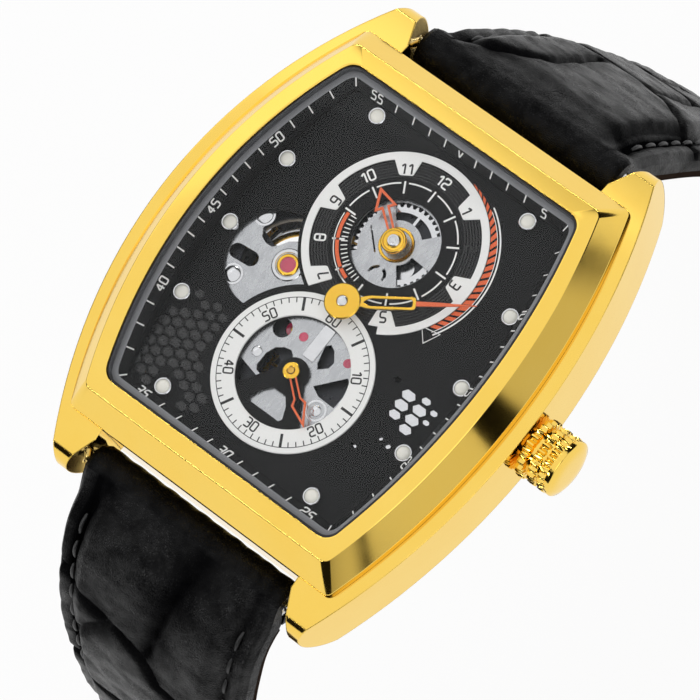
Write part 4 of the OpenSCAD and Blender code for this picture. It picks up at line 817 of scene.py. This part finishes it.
buildMinuteHand()
for name, h in arrowHands.items():
    arrow = flatPiece(name + "_hand_arrow", [mirrored(h["arrow"]), mirrored(h["hole"])], h["z"], h["thick"],
                      h["edge"], orangeLacquer, name, h["at"], h["turn"])
    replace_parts(arrow, name + "_hand")
    lathe(name + "_hand_hub", liftedBy(h["z"], h["hub"]), h["at"], goldPlated, name, h["hubSteps"])
    lathe(name + "_hand_pin", liftedBy(h["z"], h["pin"]), h["at"], h["pinMaterial"], name, 40)
print("hands made")

# Crown: knurled flange, groove, two knurled rows and a polished end
crown = {"x": 21.95, "z": -2.6, "teeth": 26, "pointsPerTooth": 10}


def buildCrown():
    c = crown
    # distance from the case, radius, depth of the knurl
    profile = [(0, 2.25, 0), (0, 2.7, 0.1), (0.08, 3.02, 0.28), (0.45, 3.1, 0.3), (0.82, 3.02, 0.28),
               (0.9, 2.7, 0.08), (0.95, 2.5, 0), (1.25, 2.5, 0), (1.3, 2.75, 0.1), (1.38, 2.94, 0.25),
               (1.8, 3.0, 0.28), (2.14, 2.94, 0.25), (2.2, 2.72, 0.08), (2.26, 2.64, 0), (2.4, 2.64, 0),
               (2.46, 2.72, 0.08), (2.52, 2.94, 0.25), (2.86, 3.0, 0.28), (3.22, 2.94, 0.25), (3.28, 2.9, 0.06),
               (3.3, 2.9, 0), (3.75, 2.9, 0), (3.86, 2.82, 0), (3.9, 2.66, 0), (4.0, 2.5, 0), (4.12, 2.2, 0),
               (4.18, 1.5, 0), (4.2, 0.7, 0), (4.2, 0.02, 0)]
    per = c["pointsPerTooth"]
    n = c["teeth"] * per
    points = []
    for x, r, depth in profile:
        for i in range(n):
            a = 2 * math.pi * i / n
            wave = abs(((i % per) / per) * 2 - 1)  # 0 in the valley's middle, 1 on the tooth
            tooth = min(1, max(0, (wave - 0.12) / 0.7))
            rr = r - depth * (1 - tooth)
            points.append((c["x"] + x, rr * math.cos(a), c["z"] + rr * math.sin(a)))
    faces = ringFaces(len(profile), n)
    points.append((c["x"], 0, c["z"]))
    faces += [(i, len(points) - 1, (i + 1) % n) for i in range(n)]
    piece = meshPiece("crown_shell", points, faces, goldPolished, "crown", 40)
    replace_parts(piece, "crown")


buildCrown()
print("crown made")


def smoothRoute(route, count):
    # a Catmull-Rom curve through the route, count points to each step, with the distances along it
    fine = []
    n = len(route)
    for i in range(n - 1):
        a = route[i - 1] if i > 0 else [2 * route[0][k] - route[1][k] for k in (0, 1)]
        b, c = route[i], route[i + 1]
        d = route[i + 2] if i < n - 2 else [2 * route[-1][k] - route[-2][k] for k in (0, 1)]
        for j in range(count):
            t = j / count
            fine.append([0.5 * (2 * b[k] + (c[k] - a[k]) * t + (2 * a[k] - 5 * b[k] + 4 * c[k] - d[k]) * t * t
                                + (3 * b[k] - a[k] - 3 * c[k] + d[k]) * t ** 3) for k in (0, 1)])
    fine.append(list(route[-1]))
    travel = [0]
    for p, q in zip(fine, fine[1:]):
        travel.append(travel[-1] + math.dist(p, q))
    return fine, travel


class Route:
    # the middle line of a strap half in the YZ plane
    def __init__(self, route, side):
        self.points, self.travel = smoothRoute(route, 24)
        self.length, self.side = self.travel[-1], side

    def at(self, s):
        s = min(max(s, 0), self.length)
        i = max(k for k in range(0, len(self.travel) - 1) if self.travel[k] <= s)
        p, q = self.points[i], self.points[i + 1]
        t = (s - self.travel[i]) / (self.travel[i + 1] - self.travel[i])
        return Vector((p[0] + (q[0] - p[0]) * t, p[1] + (q[1] - p[1]) * t))

    def frameAt(self, s):
        # point, direction along the strap, direction outwards
        a, b = self.at(max(0, s - 0.7)), self.at(min(self.length, s + 0.7))
        along = (b - a).normalized()
        return self.at(s), along, Vector((-along.y, along.x)) * self.side


strap = {"barY": 25, "barZ": -5.2, "width": 23.8, "endWidth": 20, "thick": 4.4, "endThick": 2.6, "lining": 0.9,
         "rollR": 2.3, "stitchInset": 2.1, "grooveDepth": 0.5, "grooveWidth": 0.42, "tipLength": 12,
         "taperLength": 70}
path12 = [(0, 0), (2.8, -2.7), (5.9, -8.7), (9.6, -17.1), (11.9, -24.2), (14.4, -32), (16.8, -41), (19.1, -50.6),
          (21, -59), (22.5, -66.3), (24.3, -75.2), (26.1, -84.1), (26.7, -87.1)]
path6 = [(0, 0), (-3, -0.7), (-5.7, -2.6), (-7.9, -5.7), (-10, -9.6), (-11.8, -14.4), (-13.2, -19.6), (-14.3, -25.3),
         (-15.2, -31.8), (-16, -40.8), (-16.8, -49.8), (-18.2, -58.7), (-20.9, -67.3), (-25.3, -75.1), (-31.8, -81.4),
         (-39.8, -85.6), (-48.6, -87.7), (-57.6, -88.7)]
route12 = Route([(y + strap["barY"], z + strap["barZ"]) for y, z in path12], 1)
route6 = Route([(y - strap["barY"], z + strap["barZ"]) for y, z in path6], -1)

# Grooves of the embossed scales, as lines of (distance from the bar, place across)
grooves12 = [
    [(1.8, -11.5), (2.5, -9), (3, -7), (4.5, -5), (8, -3.2), (14, -3.3), (21, -4)],
    [(20, -11.8), (20.3, -8.8), (22.5, -4.8), (22.2, 0.4), (21.2, 4.1), (17, 8.2), (15.6, 11.8)],
    [(3, 8.4), (9, 8.1), (16.8, 8.3)],
    [(22.4, 1.5), (28, 2.3), (34.5, 1.8)],
    [(33, -11.8), (34, -6), (34.8, 0), (33.6, 6), (34.4, 11.8)],
    [(34.5, -3.5), (40, -3.2), (45, -3.8)],
    [(45.5, -11.8), (45, -5), (46, 1), (44.8, 7), (45.6, 11.8)],
    [(46, 2), (51, 2.6), (56, 2)], [(56, -11.8), (56.8, -4), (55.6, 3), (56.5, 11.8)],
    [(56.5, -2.5), (61, -2.2), (66, -2.6)], [(66.5, -11.8), (66, 0), (67, 11.8)]]
grooves6 = [
    [(0.5, -8.7), (2.7, -9.4), (7, -9.4), (11.2, -9.9)],
    [(0, 3.7), (1.7, 3.3), (4.6, 2.7), (7.7, 2.1), (12.6, 1.2)],
    [(11, -11.8), (11.5, -9.9), (11.9, -6.1), (12.5, -2.3), (13.6, 0.6), (16.4, 2.6), (17.4, 6), (16.8, 11.8)],
    [(17.2, 5.5), (21, 6), (27, 5.4)], [(12.4, -3.6), (18, -8.2), (26, -8.6)],
    [(26, -11.8), (27.4, -7), (26.6, 0), (28, 5), (27, 11.8)],
    [(27, -2.4), (33, -2), (38, -2.6)], [(38.5, -11.8), (37.8, -4), (39.2, 3), (38.2, 11.8)],
    [(38.8, 2.4), (44, 2.8), (49, 2.2)], [(49.4, -11.8), (48.8, -4), (50, 3), (49.2, 11.8)],
    [(49.5, -2.6), (55, -2.2), (60, -2.8)], [(60, -11.8), (61, 0), (60, 11.8)],
    [(61, 2.4), (66, 2.6), (71, 2.2)], [(71, -11.8), (70.4, 0), (71.5, 11.8)]]


def widthAt(s):
    return strap["width"] + (strap["endWidth"] - strap["width"]) * min(1, max(0, s / strap["taperLength"]))


def thickAt(s):
    return strap["thick"] + (strap["endThick"] - strap["thick"]) * min(1, max(0, (s - 10) / 62))


def smoothStep(t):
    t = min(1, max(0, t))
    return t * t * (3 - 2 * t)


def grooveDistance(s, x, lines):
    best = 99
    for line in lines:
        if s < line[0][0] - 9 and s < line[-1][0] - 9:
            continue
        for (s0, x0), (s1, x1) in zip(line, line[1:]):
            ds, dx = s1 - s0, x1 - x0
            t = ((s - s0) * ds + (x - x0) * dx) / (ds * ds + dx * dx)
            t = min(1, max(0, t))
            d = (s - s0 - ds * t) ** 2 + (x - x0 - dx * t) ** 2
            if d < best * best:
                best = math.sqrt(d)
    return best


def relief(s, x, half, lines):
    # height of the embossed upper above its plain padded surface in mm, and how far it is out of a groove
    d = grooveDistance(s, x, lines)
    groove = -strap["grooveDepth"] * math.exp(-(d / strap["grooveWidth"]) ** 2)
    dome = 0.16 * (1 - math.exp(-d / 1.6))
    wander = 0.03 * math.sin(1.9 * s + 0.8 * x) + 0.03 * math.sin(1.3 * x - 0.9 * s + 2)
    seam = half - strap["stitchInset"] - abs(x)
    channel = -0.3 * math.exp(-(seam / 0.45) ** 2)
    fold = -0.06 * max(0, math.sin(1.5 * s + 1.4 * math.sin(0.31 * x + 0.23 * s))) ** 5
    out = 1 - 0.95 * math.exp(-(d / 2.4) ** 2) - 0.7 * math.exp(-(seam / 0.35) ** 2)
    return groove * smoothStep((s - 1.2) / 2) + dome + wander + channel + fold, max(0, out)


def tipWidth(left):
    # share of its width that the strap keeps `left` mm before its rounded tip
    into = strap["tipLength"] - left
    return math.sqrt(max(0.02, 1 - (into / (strap["tipLength"] + 0.3)) ** 2.2)) if into > 0 else 1


def upperSpan(s):
    # lower face and height of the padded upper over its lining
    return -thickAt(s) / 2 + strap["lining"] + 0.02, thickAt(s) - strap["lining"] - 0.02


def buildUpper(name, route, lines, tipped, stop, replaced):
    columns, step = 71, 0.45
    rowCount = int((stop - 0.5) / step)
    rows = [("roll", a) for a in range(-236, 0, 9)]
    rows += [("body", stop * i / rowCount) for i in range(rowCount + 1)]
    points, raised, n = [], [], columns + 4
    for kind, value in rows:
        s = value if kind == "body" else 0
        p, along, out = route.frameAt(max(s, 0.4))
        half = widthAt(s) / 2 * (tipWidth(route.length - s) if tipped else 1)
        low, rise = upperSpan(s)
        if kind == "roll":
            a = math.radians(value)
            p, spin = route.at(0), along * math.sin(a) + out * math.cos(a)
        for j in range(columns):
            u = -1 + 2 * j / (columns - 1)
            x = math.copysign(1 - (1 - abs(u)) ** 1.35, u) * half
            inset, stands = half - abs(x), 0.5
            rollTop = strap["rollR"] - 0.25 * (1 - smoothStep(inset / 0.5))
            if kind == "roll":
                pucker = 0.05 * math.sin(3.1 * x + 0.05 * value) + 0.04 * math.sin(1.7 * x - 0.08 * value)
                q = p + spin * (rollTop + pucker * 0.6)
            else:
                edge = 0.36 + 0.2 * smoothStep(inset / 0.6) + 0.36 * smoothStep((inset - 1.7) / 2.6) \
                    + 0.08 * smoothStep(inset / half)
                height, stands = relief(s, x, half, lines)
                h = low + rise * edge + height * min(1, inset / 0.4)
                h = rollTop + (h - rollTop) * smoothStep(s / 3.4)
                h -= 0.22 * math.exp(-((s - 2.6) / 0.8) ** 2) * smoothStep(inset / 1.5)
                q = p + out * h
            points.append((x, q.x, q.y))
            raised.append(stands)
        inner = p + spin if kind == "roll" else p + out * (1 + (low - 1) * smoothStep(s / 2.2))
        points += [(x, inner.x, inner.y) for x in (half, half * 0.4, -half * 0.4, -half)]
        raised += [0.3] * 4
    faces = ringFaces(len(rows), n)
    faces.append(tuple(range(n)))
    faces.append(tuple((len(rows) - 1) * n + i for i in range(n)))
    if route.side < 0:
        faces = [tuple(reversed(f)) for f in faces]
    piece = meshPiece(name, points, faces, strapLeather, name.rsplit("_", 1)[0], 60)
    piece.data.attributes.new("raised", "FLOAT", "POINT").data.foreach_set("value", raised)
    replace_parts(piece, replaced)
    return piece


def buildLining(name, route, tipped, start, stop, body, replaced):
    points, n, count = [], 8, 130
    for i in range(count + 1):
        s = start + (stop - start) * i / count
        p, _, out = route.frameAt(s)
        half = (widthAt(s) / 2 - 0.05) * (tipWidth(route.length - s) if tipped else 1)
        low = -thickAt(s) / 2
        top = low + strap["lining"]
        for x, h in ((-half + 0.45, low), (half - 0.45, low), (half - 0.12, low + 0.12), (half, low + 0.4),
                     (half, top), (-half, top), (-half, low + 0.4), (-half + 0.12, low + 0.12)):
            q = p + out * h
            points.append((x, q.x, q.y))
    faces = ringFaces(count + 1, n) + [tuple(range(n)), tuple(count * n + i for i in range(n))]
    piece = meshPiece(name, points, faces, liningLeather, body, 50)
    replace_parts(piece, replaced)


buildUpper("strap_12_upper", route12, grooves12, False, route12.length - 0.6, "strap_12")
buildUpper("strap_6_upper", route6, grooves6, True, route6.length, "strap_6")
buildLining("strap_12_back", route12, False, 2.6, route12.length - 2.2, "strap_12", "strap_12_lining")
buildLining("strap_6_back", route6, True, 2.6, route6.length - 0.05, "strap_6", "strap_6_lining")
print("strap halves made")


def buildStitches(name, route, body, first, last):
    # short threads along both edges, each a thin arched bar sunk into its channel
    points, faces = [], []
    length, pitch, r = 2.1, 3.0, 0.24
    steps, around = 8, 8
    level = 0.36 + 0.2 + 0.36 * smoothStep((strap["stitchInset"] - 1.7) / 2.6) + 0.014
    for side in (-1, 1):
        s = first
        while s + length < last:
            base = len(points)
            for i in range(steps + 1):
                arch = math.sin(math.pi * i / steps)
                at = s + length * i / steps
                p, _, out = route.frameAt(at)
                low, rise = upperSpan(at)
                across = side * (widthAt(at) / 2 - strap["stitchInset"])
                rr = r * (0.55 + 0.45 * arch ** 0.5)
                for k in range(around):
                    a = 2 * math.pi * k / around
                    q = p + out * (low + rise * level - 0.22 + 0.16 * arch + rr * math.sin(a))
                    points.append((across + rr * math.cos(a), q.x, q.y))
            faces += ringFaces(steps + 1, around, False, base)
            faces.append(tuple(base + k for k in range(around)))
            faces.append(tuple(base + steps * around + k for k in range(around)))
            s += pitch
    meshPiece(name, points, faces, thread, body, 60)


buildStitches("stitches_12", route12, "strap_12", 4, route12.length - 20)
buildStitches("stitches_6", route6, "strap_6", 4, route6.length - 13)


def buildKeeper(name, centre, gap, body, replaced):
    # leather loop round the strap, with rounded edges
    width, wall, room, r = 6, 1.1, 3, 0.9
    p, along, out = route12.frameAt(centre)
    hw = widthAt(centre) / 2 + gap + wall
    ht = (thickAt(centre - 8) + gap + room) / 2 + wall
    middle = (room - gap) / 2
    contour = []
    for cx, cy, a0 in ((hw - r, ht - r, 0), (-hw + r, ht - r, 90), (-hw + r, -ht + r, 180), (hw - r, -ht + r, 270)):
        contour += circlePoints(r, 6, (cx, cy), a0, a0 + 90)
    # place along the width, and how far the outline is pulled in there
    edge = [(0.5, wall - 0.02), (0.5, wall * 0.7), (0.5, 0.25), (0.47, 0.08), (0.42, 0.0), (0.3, 0.03)]
    rows = [(-v, inset) for v, inset in edge] + [(0.0, 0.0)] + edge[::-1]
    points = []
    for v, inset in rows:
        for x, y in contour:
            xx = max(-(hw - inset), min(hw - inset, x))
            yy = max(-(ht - inset), min(ht - inset, y))
            q = p + along * (v * width) + out * (yy + middle)
            points.append((xx, q.x, q.y))
    faces = ringFaces(len(rows), len(contour), True)
    piece = meshPiece(name, points, faces, strapLeather, body, 50)
    piece.data.attributes.new("raised", "FLOAT", "POINT").data.foreach_set("value", [1.0] * len(points))
    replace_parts(piece, replaced)


buildKeeper("keeper_fixed_loop", route12.length - 7, 0.12, "strap_12", "fixed_keeper")
buildKeeper("keeper_free_loop", route12.length - 15, 0.25, "free_keeper", "free_keeper")
print("keepers and stitches made")

# CAD parts whose shape is right get their materials, and rounded edges where they are seen
finishes = {
    "case_middle": (goldCase, 0), "case_back": (goldPolished, 0.12), "back_screws": (goldPolished, 0.04),
    "crown_tube": (goldPolished, 0.05), "buckle_frame": (goldPolished, 0.25), "buckle_tongue": (goldPolished, 0.25),
    "buckle_bar": (rhodium, 0.05), "crystal": (mineralGlass, 0), "back_crystal": (mineralGlass, 0),
    "crystal_gasket": (sealRubber, 0), "back_crystal_gasket": (sealRubber, 0), "crown_gasket": (sealRubber, 0),
    "dial_plate": (blackDial, 0), "movement_ring": (holderPlastic, 0), "main_plate": (plateRuthenium, 0.05),
    "hour_bridge": (plateNickel, 0.07), "seconds_bridge": (plateNickel, 0.07), "balance_bridge": (plateNickel, 0.07),
    "barrel_bridge": (plateNickel, 0.06), "train_bridge": (plateNickel, 0.06), "balance_cock": (plateNickel, 0.06),
    "pallet_bridge": (plateNickel, 0.03), "jewels": (rubyStone, 0), "bridge_screws": (bluedSteel, 0.03),
    "rotor_bearing": (rhodium, 0.05), "spring_bar_12": (rhodium, 0.05), "spring_bar_6": (rhodium, 0.05),
    "hairspring": (bluedSteel, 0), "cannon_pinion": (rhodium, 0.02), "centre_wheel": (wheelBrass, 0.02),
    "minute_wheel": (wheelBrass, 0.02), "hour_wheel": (rhodium, 0.02), "third_wheel": (wheelBrass, 0.02),
    "fourth_wheel": (wheelBrass, 0.02), "escape_wheel": (wheelBrass, 0.02), "pallet_fork": (rhodium, 0.02),
    "balance_wheel": (goldPlated, 0.06), "balance_staff": (rhodium, 0.02), "barrel_drum": (wheelBrass, 0.05),
    "mainspring": (rhodium, 0), "barrel_arbor": (rhodium, 0.03), "rotor_weight": (plateNickel, 0.1),
    "winding_stem": (rhodium, 0.03),
}
for name, (material, edge) in finishes.items():
    node = nodes[name]
    node.data.materials.clear()
    node.data.materials.append(material)
    if edge:
        addModifier(node, "WELD", merge_threshold=0.000001)
        addModifier(node, "BEVEL", width=edge * mm, segments=2, limit_method="ANGLE",
                    angle_limit=math.radians(38), harden_normals=True)
dressed = {n for o in bpy.data.objects for n in o.get("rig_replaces", [])} | set(finishes)
print("nodes left without a finish:", sorted(set(nodes) - dressed))

# Floor, lamps, world and camera
studio = {"floorSize": 3000, "keyPower": 0.5, "fillPower": 0.35, "stripPower": 0.8, "air": 1.0,
          "boardGlow": 0.9}
# dark places of the room, as parts of the direction from the object: a doorway, and curtains at both ends
room = {"doorY": -0.16, "doorHalf": 0.3, "doorEdge": 0.04, "doorTop": (0.26, 0.3),
        "curtainFrom": (0.5, 0.66), "curtainTop": (0.66, 0.8)}
white = (1, 1, 1, 1)


def seenDirectly(tree):
    # 1 for what the camera, a gloss or a clear body shows, 0 for soft light
    rays = addNode(tree, "ShaderNodeLightPath").outputs
    direct = calculate(tree, "ADD", rays["Is Camera Ray"], rays["Is Glossy Ray"], clamp=True)
    return calculate(tree, "ADD", direct, rays["Is Transmission Ray"], clamp=True)


def buildStage():
    half = studio["floorSize"] / 2 * mm
    lowest = min((o.matrix_world @ Vector(c)).z for o in bpy.data.objects if o.type == "MESH" and not o.hide_render
                 for c in o.bound_box)
    mesh = bpy.data.meshes.new("floor")
    steps = 6
    n = steps + 1
    grid = [(-half + 2 * half * i / steps, -half + 2 * half * j / steps, lowest - 0.0001)
            for j in range(n) for i in range(n)]
    mesh.from_pydata(grid, [], [(j * n + i, j * n + i + 1, (j + 1) * n + i + 1, (j + 1) * n + i)
                                for j in range(steps) for i in range(steps)])
    floor = bpy.data.objects.new("floor", mesh)
    bpy.context.scene.collection.objects.link(floor)
    # Matt white board: it shows near white to the camera and keeps the object's soft shadow
    material, tree, shader, place = startMaterial("matt_white_board", "#ECECEC", Roughness=0.9)
    noise = addNode(tree, "ShaderNodeTexNoise", {"Vector": place, "Scale": 40.0}).outputs["Fac"]
    tone = mixColour(tree, noise, toLinear("#EAEAEA"), toLinear("#EEEEEE"))
    tree.links.new(tone, shader.inputs["Base Color"])
    glow = addNode(tree, "ShaderNodeEmission", {"Color": white, "Strength": 1.0}).outputs[0]
    share = calculate(tree, "MULTIPLY", seenDirectly(tree), studio["boardGlow"])
    blend = addNode(tree, "ShaderNodeMixShader", {0: share, 1: shader.outputs[0], 2: glow})
    tree.links.new(blend.outputs[0], tree.nodes["Material Output"].inputs["Surface"])
    mesh.materials.append(material)


buildStage()


def addLamp(name, place, aim, size, power):
    lamp = bpy.data.lights.new(name, "AREA")
    lamp.shape = "RECTANGLE"
    lamp.size, lamp.size_y = size
    lamp.energy = power
    holder = bpy.data.objects.new(name, lamp)
    holder.location = place
    holder.rotation_euler = (Vector(aim) - Vector(place)).to_track_quat("-Z", "Y").to_euler()
    bpy.context.scene.collection.objects.link(holder)


addLamp("soft_key", (-0.56, 0.26, 0.34), (0, 0, 0), (0.62, 0.8), studio["keyPower"])
addLamp("soft_fill", (0.5, -0.12, 0.25), (0, 0, 0), (0.3, 0.5), studio["fillPower"])
# narrow strips behind and before the watch draw the bright streaks on the leather folds
addLamp("strip_back", (-0.22, 0.5, 0.26), (0, 0.03, -0.01), (0.4, 0.04), studio["stripPower"])
addLamp("strip_front", (-0.22, -0.48, 0.3), (0, -0.03, -0.01), (0.4, 0.04), studio["stripPower"])

world = bpy.data.worlds.new("studio_air")
bpy.context.scene.world = world
world.use_nodes = True
tree = world.node_tree
sky = tree.nodes["Background"]
way = addNode(tree, "ShaderNodeTexCoord").outputs["Generated"]
parts = addNode(tree, "ShaderNodeSeparateXYZ", {0: way}).outputs
# a dark doorway stands low in the white room, which gives the polished sides their black bands
height = remap(tree, parts["Z"], *room["doorTop"], kind="SMOOTHSTEP")
away = calculate(tree, "ABSOLUTE", calculate(tree, "SUBTRACT", parts["Y"], room["doorY"]))
aside = remap(tree, away, room["doorHalf"], room["doorHalf"] + room["doorEdge"], kind="SMOOTHSTEP")
low = mixColour(tree, aside, toLinear("#060607"), toLinear("#CFCFCF"))
clear = mixColour(tree, height, low, toLinear("#FFFFFF"))
# and dark curtains hang along both ends, which keeps the leather black between its bright streaks
side = remap(tree, calculate(tree, "ABSOLUTE", parts["Y"]), *room["curtainFrom"], kind="SMOOTHSTEP")
top = remap(tree, parts["Z"], *room["curtainTop"], 1.0, 0.0, "SMOOTHSTEP")
tone = mixColour(tree, calculate(tree, "MULTIPLY", side, top), clear, toLinear("#1A1A1C"))
# the camera meets a white backdrop; it and the gloss of metal and glass see the room at full strength
rays = addNode(tree, "ShaderNodeLightPath").outputs
tree.links.new(mixColour(tree, rays["Is Camera Ray"], tone, white), sky.inputs["Color"])
tree.links.new(remap(tree, seenDirectly(tree), 0.0, 1.0, studio["air"], 1.0), sky.inputs["Strength"])

camera = bpy.data.cameras.new("camera")
camera.lens = 273.45
camera.sensor_width = 36
camera.clip_end = 20
viewer = bpy.data.objects.new("camera", camera)
right, up = Vector((0.7549, 0.61608, -0.2249)), Vector((-0.54656, 0.7805, 0.30349))
back, stand = Vector((0.3625, -0.10618, 0.92591)), (0.17905, -0.05464, 0.45926)
viewer.matrix_world = Matrix.Translation(stand) @ Matrix((right, up, back)).transposed().to_4x4()
bpy.context.scene.collection.objects.link(viewer)
bpy.context.scene.camera = viewer
bpy.context.scene.view_settings.view_transform = "Standard"
print("stage and camera made")
